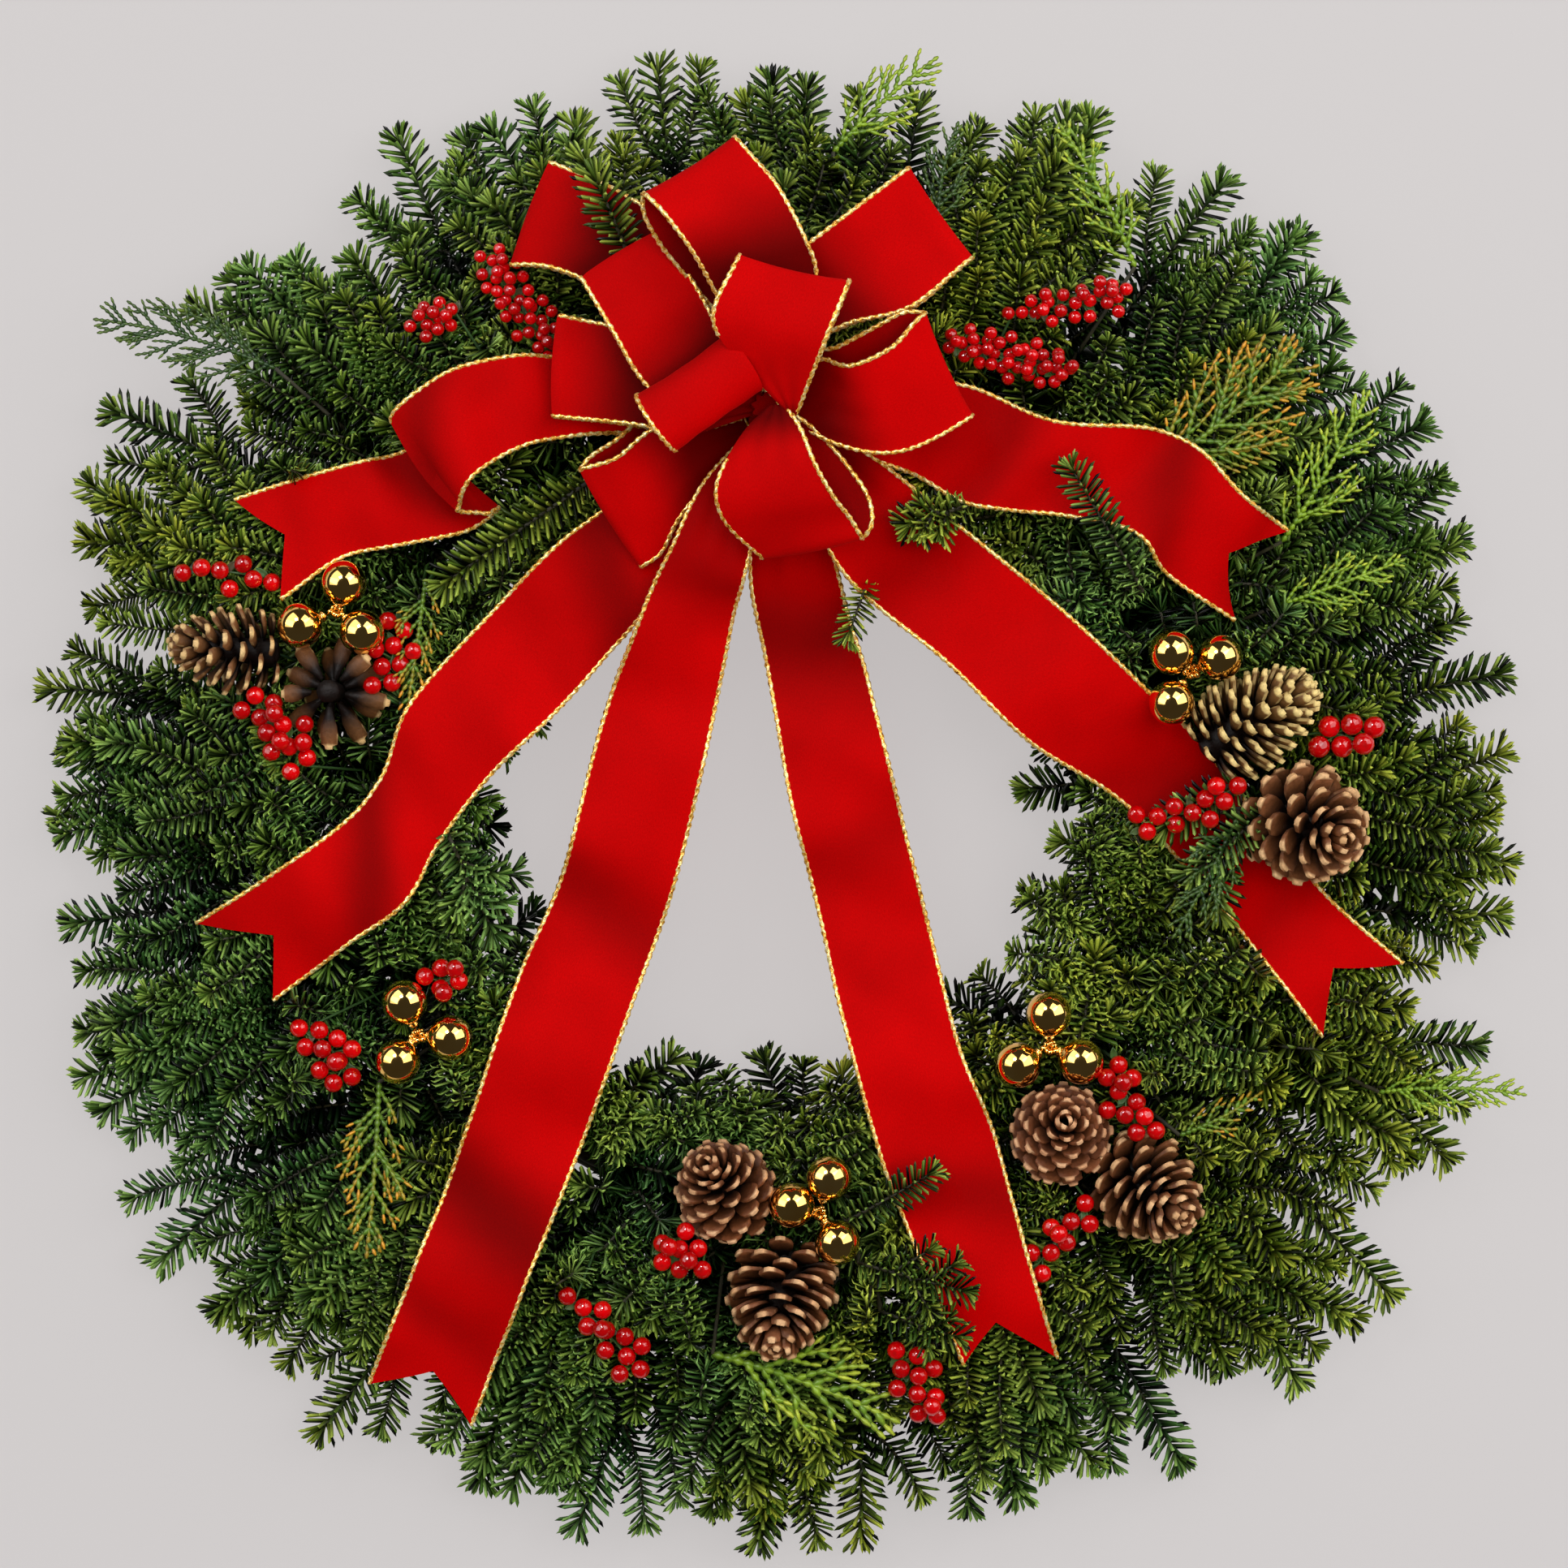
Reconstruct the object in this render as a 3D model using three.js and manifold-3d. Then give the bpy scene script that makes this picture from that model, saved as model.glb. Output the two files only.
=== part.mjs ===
// A fresh evergreen wreath lying on its back: a double-rail wire frame, sixteen clamped
// bunches of fir, sprays of cedar, cones, gold balls and berries, and a ribbon bow with
// six tails. Millimetres, +Z up, z = 0 under the frame's flat back.
import * as THREE from "three";
import { mergeVertices } from "three/addons/utils/BufferGeometryUtils.js";
import Module from "manifold-3d";

const wasm = await Module();
wasm.setup();

// Driving dimensions
const frame = { innerR: 223, outerR: 257, wire: 4, segments: 24, crossWires: 8 };
const bunch = { count: 16, stubR: 240, stubRadius: 10, endGap: 6 };
const seatGap = 0.3;
const clamp = { offset: 9.4, wire: 2.6 };
const needle = { length: 23, halfWidth: 0.75, lean: 46, whorlLength: 3.2, bare: 52, gap: 0.7 };
const core = { root: 2.3, tip: 1.5 };
const ribbon = { width: 63.5, thickness: 1, pinch: 12 };
const knot = { at: [-6, 232], low: 118, waist: 152, high: 192, radius: 14, sides: 12 };
const ball = { radius: 13.5, stem: 1 };
const berry = { radius: 5, wire: 1.3, spacing: 12.5, lead: 5 };
const cone = { columns: 7, rows: 4 };
const cedarSheet = 1.6;
const pickWire = 1.3;
const tieWire = 1.1;
const cedarStem = 1.5;
const smallestDetail = 0.08;
const turn = Math.PI * 2;

// The stem bundle is six-sided with a flat on top, just over the frame
const bundleRise = bunch.stubRadius * Math.cos(Math.PI / 6);
const bundleZ = frame.wire + seatGap + bundleRise;
const bundleTop = bundleZ + bundleRise;

const colours = {
  steel: 0x3b4a3a, fir: 0x2f5a2a, cedarDark: 0x3f6b2c, cedarLight: 0x86a63a, velvet: 0xb00505,
  cone: 0x6b4427, gold: 0xd9a632, berry: 0xc80d14,
};

// Small helpers
const vec = (x, y, z) => new THREE.Vector3(x, y, z);
const rad = (degrees) => THREE.MathUtils.degToRad(degrees);
const polar = (r, degrees, z) => vec(r * Math.cos(rad(degrees)), r * Math.sin(rad(degrees)), z);
const mix = (a, b, t) => a + (b - a) * t;

function middleOf(points) {
  return points.reduce((sum, point) => sum.add(point), vec(0, 0, 0)).multiplyScalar(1 / points.length);
}

// A repeatable draw between -1 and 1
function draw(seed) {
  const wave = Math.sin(seed * 12.9898 + 78.233) * 43758.5453;
  return 2 * (wave - Math.floor(wave)) - 1;
}

// Closed solids from rings of points; spikeFor may raise a point on any side triangle
function loft(rings, spikeFor = () => null) {
  const sides = rings[0].length;
  const points = rings.flat();
  const faces = [];
  const add = (face, spike) => {
    if (!spike) {
      faces.push(face);
      return;
    }
    const [a, b, c] = face;
    const apex = points.push(spike) - 1;
    faces.push([a, b, apex], [b, c, apex], [c, a, apex]);
  };
  for (let i = 0; i + 1 < rings.length; i++) {
    for (let s = 0; s < sides; s++) {
      const a = i * sides + s;
      const b = i * sides + (s + 1) % sides;
      add([a, b, a + sides], spikeFor(i, s, 0));
      add([b, b + sides, a + sides], spikeFor(i, s, 1));
    }
  }
  const last = (rings.length - 1) * sides;
  for (let s = 1; s + 1 < sides; s++) {
    add([0, s + 1, s], null);
    add([last, last + s, last + s + 1], null);
  }
  return { points, faces };
}

function geometryOf({ points, faces }) {
  const geometry = new THREE.BufferGeometry().setFromPoints(points);
  geometry.setIndex(faces.flat());
  return geometry;
}

function solidOf(geometry) {
  const bare = geometry.clone();
  bare.deleteAttribute("normal");
  bare.deleteAttribute("uv");
  const merged = mergeVertices(bare, 1e-4);
  return new wasm.Manifold(new wasm.Mesh({
    numProp: 3,
    vertProperties: new Float32Array(merged.attributes.position.array),
    triVerts: new Uint32Array(merged.index.array),
  }));
}

function geometryFrom(solid) {
  const { vertProperties, triVerts } = solid.getMesh();
  const geometry = new THREE.BufferGeometry();
  geometry.setAttribute("position", new THREE.BufferAttribute(vertProperties, 3));
  geometry.setIndex(new THREE.BufferAttribute(triVerts, 1));
  return geometry;
}

function joined(geometries) {
  const [first, ...rest] = geometries.map(solidOf);
  return geometryFrom(rest.reduce((sum, next) => sum.add(next), first).simplify(smallestDetail));
}

// A few-sided ring of points across a path, its first point towards side
function ringAcross(centre, along, side, radius, sides) {
  const first = side.clone().projectOnPlane(along).normalize();
  return Array.from({ length: sides }, (_, s) => (
    centre.clone().addScaledVector(first.clone().applyAxisAngle(along, turn * s / sides), radius)));
}

// The direction of a path at each point, and a side, level at first, that follows it
// without twisting
function courseOf(path) {
  const last = path.length - 1;
  let side = vec(path[0].y - path[last].y, path[last].x - path[0].x, 0);
  return path.map((point, i) => {
    const along = path[Math.min(i + 1, last)].clone().sub(path[Math.max(i - 1, 0)]).normalize();
    side = side.clone().projectOnPlane(along).normalize();
    return { point, along, side };
  });
}

function ringsAlong(path, radius, sides) {
  return courseOf(path).map(({ point, along, side }) => ringAcross(point, along, side, radius, sides));
}

function tube(path, radius, sides) {
  return geometryOf(loft(ringsAlong(path, radius, sides)));
}

// Room already taken, so that needles and cores are bent or shortened clear of it
const taken = [];

function takeSegment(a, b, radius, owner) {
  const centre = a.clone().add(b).multiplyScalar(0.5);
  taken.push({ a, b, radius, owner, centre, reach: a.distanceTo(b) / 2 + radius });
}

function takeGeometry(geometry) {
  const at = (i) => new THREE.Vector3().fromBufferAttribute(geometry.attributes.position, i);
  const index = geometry.index.array;
  for (let i = 0; i < index.length; i += 3) {
    const face = new THREE.Triangle(at(index[i]), at(index[i + 1]), at(index[i + 2]));
    const centre = face.getMidpoint(new THREE.Vector3());
    const reach = Math.max(...[face.a, face.b, face.c].map((p) => p.distanceTo(centre)));
    taken.push({ face, radius: 0, centre, reach });
  }
}

function gapBetweenLines(a, b, c, d) {
  const u = b.clone().sub(a);
  const v = d.clone().sub(c);
  const w = a.clone().sub(c);
  const [uu, uv, vv] = [u.dot(u), u.dot(v), v.dot(v)];
  const [uw, vw] = [u.dot(w), v.dot(w)];
  const steep = uu * vv - uv * uv;
  let s = steep > 1e-9 ? THREE.MathUtils.clamp((uv * vw - vv * uw) / steep, 0, 1) : 0;
  const t = THREE.MathUtils.clamp((uv * s + vw) / vv, 0, 1);
  s = THREE.MathUtils.clamp((uv * t - uw) / uu, 0, 1);
  return w.addScaledVector(u, s).addScaledVector(v, -t).length();
}

function gapToFace(a, b, face) {
  const away = b.clone().sub(a);
  const ray = new THREE.Ray(a, away.clone().normalize());
  const hit = ray.intersectTriangle(face.a, face.b, face.c, false, new THREE.Vector3());
  if (hit && hit.distanceTo(a) < away.length()) return 0;
  const near = new THREE.Vector3();
  return Math.min(
    face.closestPointToPoint(a, near).distanceTo(a),
    face.closestPointToPoint(b, near).distanceTo(b),
    gapBetweenLines(a, b, face.a, face.b),
    gapBetweenLines(a, b, face.b, face.c),
    gapBetweenLines(a, b, face.c, face.a),
  );
}

function isClear(a, b, radius, isOwn) {
  const centre = a.clone().add(b).multiplyScalar(0.5);
  const reach = a.distanceTo(b) / 2 + radius + needle.gap;
  return taken.every((item) => {
    if (isOwn(item) || item.centre.distanceTo(centre) > reach + item.reach) return true;
    const gap = item.face ? gapToFace(a, b, item.face) : gapBetweenLines(a, b, item.a, item.b);
    return gap > radius + item.radius + needle.gap;
  });
}

// The wire frame: two rails, cross wires between them and a clamp over each bunch
function railAt(radius) {
  const half = frame.wire / 2;
  const section = [[-half, 0], [half, 0], [half, half * 2], [-half, half * 2], [-half, 0]];
  const profile = section.map(([x, y]) => new THREE.Vector2(radius + x, y));
  return new THREE.LatheGeometry(profile, frame.segments).rotateX(Math.PI / 2);
}

function crossWire(degrees) {
  const [width, height] = [frame.wire * 0.8, frame.wire * 0.6];
  const wire = new THREE.BoxGeometry(frame.outerR - frame.innerR, width, height);
  wire.translate((frame.outerR + frame.innerR) / 2, 0, frame.wire - height / 2);
  return wire.rotateZ(rad(degrees));
}

function clampDegrees(i) {
  return 360 * (i + 0.5) / bunch.count + clamp.offset;
}

function clampAt(degrees) {
  const top = bundleTop + seatGap + clamp.wire * 0.45;
  const reach = bunch.stubRadius + 1;
  const path = [
    polar(frame.innerR, degrees, frame.wire / 4),
    polar(bunch.stubR - reach, degrees, top),
    polar(bunch.stubR + reach, degrees, top),
    polar(frame.outerR, degrees, frame.wire / 4),
  ];
  return tube(path, clamp.wire / 2, 3);
}

function wireFrame() {
  const parts = [railAt(frame.innerR), railAt(frame.outerR)];
  for (let i = 0; i < frame.crossWires; i++) {
    parts.push(crossWire(360 * i / frame.crossWires));
  }
  for (let i = 0; i < bunch.count; i++) parts.push(clampAt(clampDegrees(i)));
  return joined(parts);
}

// Ribbon: a thin strip between two edges, split alike on both faces; a notched one is three
// points wide
function strip(stations, notch) {
  const columns = notch ? 3 : 2;
  const middles = stations.map(([a, b]) => middleOf([a, b]));
  const [over, under] = [[], []];
  stations.forEach(([a, b], i) => {
    const ahead = middles[Math.min(i + 1, middles.length - 1)].clone();
    const lift = b.clone().sub(a).cross(ahead.sub(middles[Math.max(i - 1, 0)])).normalize();
    lift.multiplyScalar(ribbon.thickness / 2);
    const inner = i === stations.length - 1 ? notch : middles[i];
    for (const point of notch ? [a, inner, b] : [a, b]) {
      over.push(point.clone().add(lift));
      under.push(point.clone().sub(lift));
    }
  });
  return geometryOf({ points: [...over, ...under], faces: stripFaces(stations.length, columns) });
}

function stripFaces(rows, columns) {
  const faces = [];
  const quad = (a, b, c, d) => faces.push([a, b, c], [a, c, d]);
  const over = (row, column) => row * columns + column;
  const under = (row, column) => (rows + row) * columns + column;
  for (let row = 0; row + 1 < rows; row++) {
    for (let column = 0; column + 1 < columns; column++) {
      quad(over(row, column + 1), over(row + 1, column + 1), over(row + 1, column), over(row, column));
      quad(under(row, column + 1), under(row, column), under(row + 1, column), under(row + 1, column + 1));
    }
    const last = columns - 1;
    quad(over(row, last), under(row, last), under(row + 1, last), over(row + 1, last));
    quad(under(row, 0), over(row, 0), over(row + 1, 0), under(row + 1, 0));
  }
  for (let column = 0; column + 1 < columns; column++) {
    quad(over(0, column), under(0, column), under(0, column + 1), over(0, column + 1));
    const last = rows - 1;
    quad(over(last, column), over(last, column + 1), under(last, column + 1), under(last, column));
  }
  return faces;
}

// Each loop's outermost fold runs from a to b, neck is the height where it leaves the knot,
// and puff is how far its two faces stand apart
const loops = {
  far_left: { a: [-134, 380, 126], b: [-156, 320, 122], neck: 134, puff: 18 },
  left: { a: [-129, 289, 151], b: [-130, 230, 149], neck: 152, puff: 14 },
  lower_left: { a: [-114, 196, 172], b: [-79, 142, 148], neck: 146, puff: 30 },
  bottom: { a: [-10, 144, 160], b: [49, 156, 186], neck: 154, puff: 38 },
  right: { a: [84, 286, 188], b: [111, 227, 162], neck: 162, puff: 32 },
  top_right: { a: [75, 371, 154], b: [111, 318, 152], neck: 142, puff: 18 },
  left_front: { a: [-68, 334, 174], b: [-113, 307, 170], neck: 166, puff: 16 },
  top: { a: [-76, 354, 206], b: [-24, 389, 182], neck: 176, puff: 30 },
  front: { a: [-22, 316, 220], b: [41, 301, 220], neck: 184, puff: 26 },
  centre: { a: [-77, 241, 204], b: [-30, 269, 214], neck: 188, puff: 26 },
};
const loopSteps = 7;
const neckReach = 5;
const neckRise = 1.5;
const fullWidthFrom = 0.75;

function loopStrip({ a, b, neck, puff }) {
  const [foldA, foldB, centre] = [vec(...a), vec(...b), vec(knot.at[0], knot.at[1], neck)];
  const across = foldB.clone().sub(foldA).normalize();
  const reach = foldA.clone().add(foldB).multiplyScalar(0.5).sub(centre);
  const lift = across.clone().cross(reach).normalize();
  if (lift.z < 0) lift.negate();
  const stations = [];
  for (let i = 0; i <= loopSteps; i++) {
    const t = i / loopSteps;
    const out = mix(neckReach / reach.length(), 1, Math.sin(Math.PI * t));
    const rise = puff / 2 * Math.sin(turn * t) + neckRise * Math.cos(Math.PI * t);
    const spread = THREE.MathUtils.smoothstep(out, 0, fullWidthFrom);
    const half = mix(ribbon.pinch, ribbon.width, spread) / 2;
    const middle = centre.clone().addScaledVector(reach, out).addScaledVector(lift, rise);
    const [left, right] = [middle.clone(), middle.clone()];
    stations.push([left.addScaledVector(across, -half), right.addScaledVector(across, half)]);
  }
  return strip(stations, null);
}

function knotBlock() {
  const { radius, low, waist, high } = knot;
  const profile = [
    [0, low], [radius * 0.8, low], [radius, low + 5], [radius, waist], [radius * 0.5, high], [0, high],
  ];
  const block = new THREE.LatheGeometry(profile.map(([r, z]) => new THREE.Vector2(r, z)), knot.sides);
  return block.rotateX(Math.PI / 2).translate(...knot.at, 0);
}

// Each tail by its two edges, from just outside the knot to its notched end; neck is the
// height at which it leaves the knot
const tails = {
  upper_left: {
    neck: 134,
    a: [[-62, 256, 130], [-122, 264, 126], [-161, 264, 142], [-196, 254, 146],
      [-218, 239, 140], [-226, 229, 131], [-215, 219, 124], [-207, 214, 117], [-220, 211, 111],
      [-247, 204, 113], [-286, 193, 115], [-322, 182, 105]],
    b: [[-58, 222, 130], [-103, 220, 126], [-144, 214, 142], [-175, 197, 146],
      [-186, 182, 140], [-188, 176, 131], [-179, 174, 124], [-170, 172, 117], [-182, 164, 111],
      [-223, 155, 113], [-257, 148, 115], [-294, 123, 105]],
    notch: [-293, 165, 107],
  },
  lower_left: {
    neck: 122,
    a: [[-62, 202, 120], [-121, 162, 118], [-171, 112, 118], [-219, 57, 114],
      [-234, 16, 120], [-260, -13, 124], [-301, -42, 114], [-347, -71, 102]],
    b: [[-40, 160, 120], [-85, 107, 117], [-128, 59, 116], [-172, 16, 113],
      [-200, -22, 119], [-219, -56, 124], [-258, -85, 115], [-300, -116, 102]],
    notch: [-302, -72, 106],
  },
  middle_left: {
    neck: 134,
    a: [[-40, 188, 130], [-63, 150, 127], [-76, 122, 122], [-104, 45, 116],
      [-128, -44, 110], [-152, -99, 110], [-183, -190, 116], [-214, -272, 118], [-243, -345, 104]],
    b: [[-10, 175, 130], [-18, 135, 127], [-24, 117, 122], [-37, 55, 116],
      [-62, -50, 110], [-84, -112, 110], [-114, -195, 116], [-147, -279, 118], [-182, -369, 104]],
    notch: [-206, -334, 107],
  },
  middle_right: {
    neck: 123,
    a: [[-12, 180, 122], [-16, 141, 121], [-3, 69, 116], [9, 2, 110],
      [26, -66, 108], [40, -128, 110], [64, -214, 116], [83, -263, 116], [111, -331, 103]],
    b: [[24, 186, 122], [34, 146, 121], [54, 74, 116], [72, 2, 110],
      [91, -75, 108], [108, -143, 110], [129, -195, 116], [146, -258, 116], [167, -329, 103]],
    notch: [125, -306, 107],
  },
  lower_right: {
    neck: 134,
    a: [[54, 207, 131], [102, 169, 128], [165, 119, 123], [218, 70, 114],
      [252, 38, 94], [288, -6, 74], [328, -53, 82], [374, -94, 82]],
    b: [[18, 178, 131], [42, 135, 128], [100, 86, 123], [153, 36, 114],
      [205, 4, 94], [246, -38, 74], [276, -72, 82], [326, -138, 82]],
    notch: [336, -94, 83],
  },
  upper_right: {
    neck: 124,
    a: [[58, 250, 123], [112, 248, 124], [164, 227, 125], [222, 222, 129],
      [250, 210, 128], [275, 184, 118], [305, 163, 104]],
    b: [[47, 208, 123], [80, 197, 122], [117, 178, 123], [169, 172, 127],
      [212, 162, 124], [232, 137, 116], [274, 110, 104]],
    notch: [270, 156, 107],
  },
};

function tailStrip({ neck, a, b, notch }) {
  const stations = a.map((edge, i) => [vec(...edge), vec(...b[i])]);
  const centre = vec(...knot.at, neck);
  const [first, second] = stations[0];
  const away = first.clone().add(second).multiplyScalar(0.5).sub(centre).setZ(0).normalize();
  const across = vec(away.y, -away.x, 0).multiplyScalar(ribbon.pinch * 0.38);
  if (across.dot(second.clone().sub(first)) < 0) across.negate();
  const root = centre.addScaledVector(away, knot.radius + seatGap + 0.1);
  stations.unshift([root.clone().sub(across), root.clone().add(across)]);
  return strip(stations, vec(...notch));
}

// A wire from an ornament down to the stem bundle, ending just above it; foot turns its
// lower end round the ring, clear of the clamps
function pickPath([x, y, z], foot = 0) {
  const degrees = THREE.MathUtils.radToDeg(Math.atan2(y, x));
  const seat = bundleTop + seatGap + pickWire * 0.35;
  const r = Math.hypot(x, y);
  const inward = r > bunch.stubR ? 5 : -5;
  return [polar(bunch.stubR, degrees + foot, seat),
    polar(bunch.stubR + inward, degrees + foot * 0.9, seat + 14),
    polar(mix(bunch.stubR, r, 0.7), degrees + foot * 0.3, mix(seat, z, 0.55)), vec(x, y, z)];
}

// Cones: scales raised from a spindle, each a blunt tongue as wide as its place
const cones = {
  left_outer: { at: [-323, 93, 104], heading: 176, tilt: 18, length: 62, width: 52 },
  left_inner: { at: [-264, 68, 104], heading: 0, tilt: -84, length: 44, width: 58 },
  right_upper: { at: [281, 50, 106], heading: 32, tilt: 16, length: 74, width: 62 },
  right_lower: { at: [315, -11, 110], heading: -25, tilt: 58, length: 60, width: 72, foot: 6 },
  bottom_upper: { at: [-31, -228, 102], heading: 120, tilt: 52, length: 54, width: 60 },
  bottom_lower: { at: [3, -291, 100], heading: 262, tilt: 40, length: 62, width: 66 },
  lower_right_inner: { at: [169, -194, 104], heading: 80, tilt: 74, length: 50, width: 60 },
  lower_right_outer: { at: [220, -227, 98], heading: -38, tilt: 44, length: 58, width: 64 },
};

function coneShell({ length, width }) {
  const rowAt = (row) => {
    const t = row / cone.rows;
    const radius = width * (0.17 + 0.12 * Math.sin(Math.PI * (0.15 + 0.75 * t)));
    return { z: length * (t - 0.5) * 0.82, radius: radius * (1 - 0.45 * t * t) };
  };
  const rings = [];
  for (let row = 0; row <= cone.rows; row++) {
    const { z, radius } = rowAt(row);
    rings.push(Array.from({ length: cone.columns }, (_, s) => {
      const angle = turn * (s + row / 2) / cone.columns;
      return vec(radius * Math.cos(angle), radius * Math.sin(angle), z);
    }));
  }
  return { rings, points: rings.flat(), faces: loft(rings).faces };
}

function coneScales(shell, { length, width }) {
  const { points, faces } = shell;
  const columns = cone.columns;
  const kept = faces.slice(columns * cone.rows * 2);
  for (let row = 0; row < cone.rows; row++) {
    for (let s = 0; s < columns; s++) {
      const a = row * columns + s;
      const b = row * columns + (s + 1) % columns;
      const [c, d] = [b + columns, a + columns];
      const middle = middleOf([a, b, c, d].map((i) => points[i]));
      const out = vec(middle.x, middle.y, 0).normalize();
      const t = (row + 0.5) / cone.rows;
      const reach = width * (0.5 - 0.2 * t * t) - Math.hypot(middle.x, middle.y);
      const side = vec(-out.y, out.x, 0).multiplyScalar(width * mix(0.11, 0.06, t));
      const tip = middle.clone().addScaledVector(out, reach);
      tip.z += length * mix(0.04, 0.2, t);
      const p = points.push(tip.clone().sub(side)) - 1;
      const q = points.push(tip.clone().add(side)) - 1;
      kept.push([a, b, q], [a, q, p], [c, d, p], [c, p, q], [b, c, q], [d, a, p]);
    }
  }
  return geometryOf({ points, faces: kept });
}

function placedCone(spec) {
  const body = coneScales(coneShell(spec), spec);
  body.rotateY(rad(90 - spec.tilt)).rotateZ(rad(spec.heading)).translate(...spec.at);
  return joined([body, tube(pickPath(spec.at, spec.foot), pickWire, 3)]);
}

// Gold balls: three on short stems round a beaded hub
const ballTrios = {
  left_upper: {
    hub: [-261, 116, 104],
    balls: [[-256, 132, 116], [-282, 107, 118], [-245, 103, 120]],
    foot: 4,
  },
  left_lower: {
    hub: [-213, -136, 104],
    balls: [[-220, -116, 118], [-193, -137, 118], [-224, -151, 118]],
  },
  bottom: {
    hub: [25, -241, 104],
    balls: [[9, -236, 118], [31, -220, 118], [36, -258, 118]],
  },
  right_upper: {
    hub: [245, 80, 112],
    balls: [[233, 91, 126], [262, 88, 120], [233, 61, 128]],
  },
  lower_right: {
    hub: [162, -143, 104],
    balls: [[161, -123, 118], [143, -153, 118], [180, -151, 118]],
  },
};

function ballTrio({ hub, balls, foot }) {
  const parts = [new THREE.OctahedronGeometry(4).translate(...hub)];
  for (const at of balls) {
    parts.push(new THREE.SphereGeometry(ball.radius, 7, 5).translate(...at));
    parts.push(tube([vec(...hub), vec(...at)], ball.stem, 3));
  }
  parts.push(tube(pickPath(hub, foot), pickWire, 3));
  return joined(parts);
}

// Berry sprays: a wire with a berry on a short stem beside each stretch of it
const berrySprays = {
  bow_left: { from: [-130, 262, 106], to: [-168, 316, 102], count: 9, side: 8 },
  bow_left_far: { from: [-190, 292, 106], to: [-206, 288, 110], count: 5, side: 8 },
  bow_right: { from: [100, 276, 112], to: [166, 258, 116], count: 10, side: 10 },
  bow_right_far: { from: [140, 292, 108], to: [205, 303, 114], count: 7, side: 8 },
  left_far: { from: [-302, 136, 100], to: [-345, 142, 102], count: 4, side: 8, foot: -8 },
  left_upper: { from: [-216, 110, 108], to: [-223, 76, 110], count: 6, side: 8 },
  left_middle: { from: [-279, 24, 108], to: [-306, 60, 108], count: 7, side: 8 },
  left_lower: { from: [-276, -130, 110], to: [-254, -156, 110], count: 8, side: 10 },
  left_low_small: { from: [-203, -107, 112], to: [-192, -102, 114], count: 4, side: 8 },
  bottom_left: { from: [-66, -262, 108], to: [-53, -266, 112], count: 6, side: 10 },
  bottom_far: { from: [-120, -294, 104], to: [-86, -328, 102], count: 8, side: 8, foot: 4 },
  bottom_right: { from: [70, -324, 100], to: [93, -357, 98], count: 6, side: 8 },
  right: { from: [213, -15, 108], to: [264, 7, 120], count: 7, side: 8, foot: -4 },
  right_far: { from: [333, 48, 106], to: [345, 45, 108], count: 5, side: 9 },
};

// The low three-sided bead that the stem's last triangle widens into
function beadOn(points, faces, [second, third, first], centre, away) {
  const root = [first, second, third];
  const base = points.length;
  const start = points[root[0]].clone().sub(centre);
  const lowHeart = centre.clone().addScaledVector(away, -0.75 * berry.radius);
  const highHeart = centre.clone().addScaledVector(away, 0.15 * berry.radius);
  points.push(...ringAcross(lowHeart, away, start, 0.5 * berry.radius, 3));
  const between = start.clone().applyAxisAngle(away, rad(60));
  points.push(...ringAcross(highHeart, away, between, 1.1 * berry.radius, 3));
  points.push(centre.clone().addScaledVector(away, berry.radius));
  const [low, high, top] = [base, base + 3, base + 6];
  for (let s = 0; s < 3; s++) {
    const next = (s + 1) % 3;
    faces.push([root[s], root[next], low + next], [root[s], low + next, low + s]);
    faces.push([low + s, low + next, high + s], [high + s, low + next, high + next]);
    faces.push([high + s, high + next, top]);
  }
}

// Berries side by side lean apart along the wire where they would touch
function berryLeans(length, count, side) {
  const nextInColumn = 3 * length / count;
  const lean = Math.max(0, berry.spacing - nextInColumn) / side / 3;
  return Array.from({ length: count }, (_, i) => lean * (i - (count - 1) / 2));
}

function berrySpray({ from, to, count, side, foot }) {
  const [start, end] = [vec(...from), vec(...to)];
  const along = end.clone().sub(start).normalize();
  const lead = start.clone().addScaledVector(along, -berry.lead);
  const path = pickPath(lead.toArray(), foot);
  const first = path.length;
  for (let i = 0; i <= count; i++) path.push(start.clone().lerp(end, i / count));
  const { points, faces } = loft(ringsAlong(path, berry.wire, 3));
  const leans = berryLeans(start.distanceTo(end), count, side);
  const roots = leans.map((_, i) => ((first + i) * 3 + i % 3) * 2);
  const kept = faces.filter((_, k) => !roots.includes(k));
  roots.forEach((k, i) => {
    const middle = middleOf([path[first + i], path[first + i + 1]]);
    const away = middleOf(faces[k].map((corner) => points[corner])).sub(middle).projectOnPlane(along);
    away.normalize().addScaledVector(along, leans[i]).normalize();
    beadOn(points, kept, faces[k], middle.addScaledVector(away, side), away);
  });
  return geometryOf({ points, faces: kept });
}

// Cedar: flat branching fans, each cut from one thin arched sheet, on a stem
const cedars = {
  cedar_dark_left: { at: [-300, 262, 78], heading: 165, length: 112, width: 62, arch: 14, isDark: true },
  cedar_top: { at: [34, 392, 74], heading: 42, length: 84, width: 50, arch: 14 },
  cedar_top_right: { at: [214, 322, 84], heading: 118, length: 92, width: 46, arch: 16 },
  cedar_orange: { at: [262, 214, 98], heading: 42, length: 104, width: 78, arch: 12 },
  cedar_right: { at: [322, 170, 76], heading: 58, length: 96, width: 50, arch: 16 },
  cedar_low_right: { at: [362, -172, 62], heading: -1, length: 88, width: 40, arch: 16 },
  cedar_bottom: { at: [-38, -330, 88], heading: -22, length: 112, width: 56, arch: 12, isDark: true },
  cedar_low_left: { at: [-238, -176, 102], heading: 262, length: 82, width: 50, arch: 14 },
};
const fanPairs = 4;

const fanRib = 1.6;
const fanHeel = -6;

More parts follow.
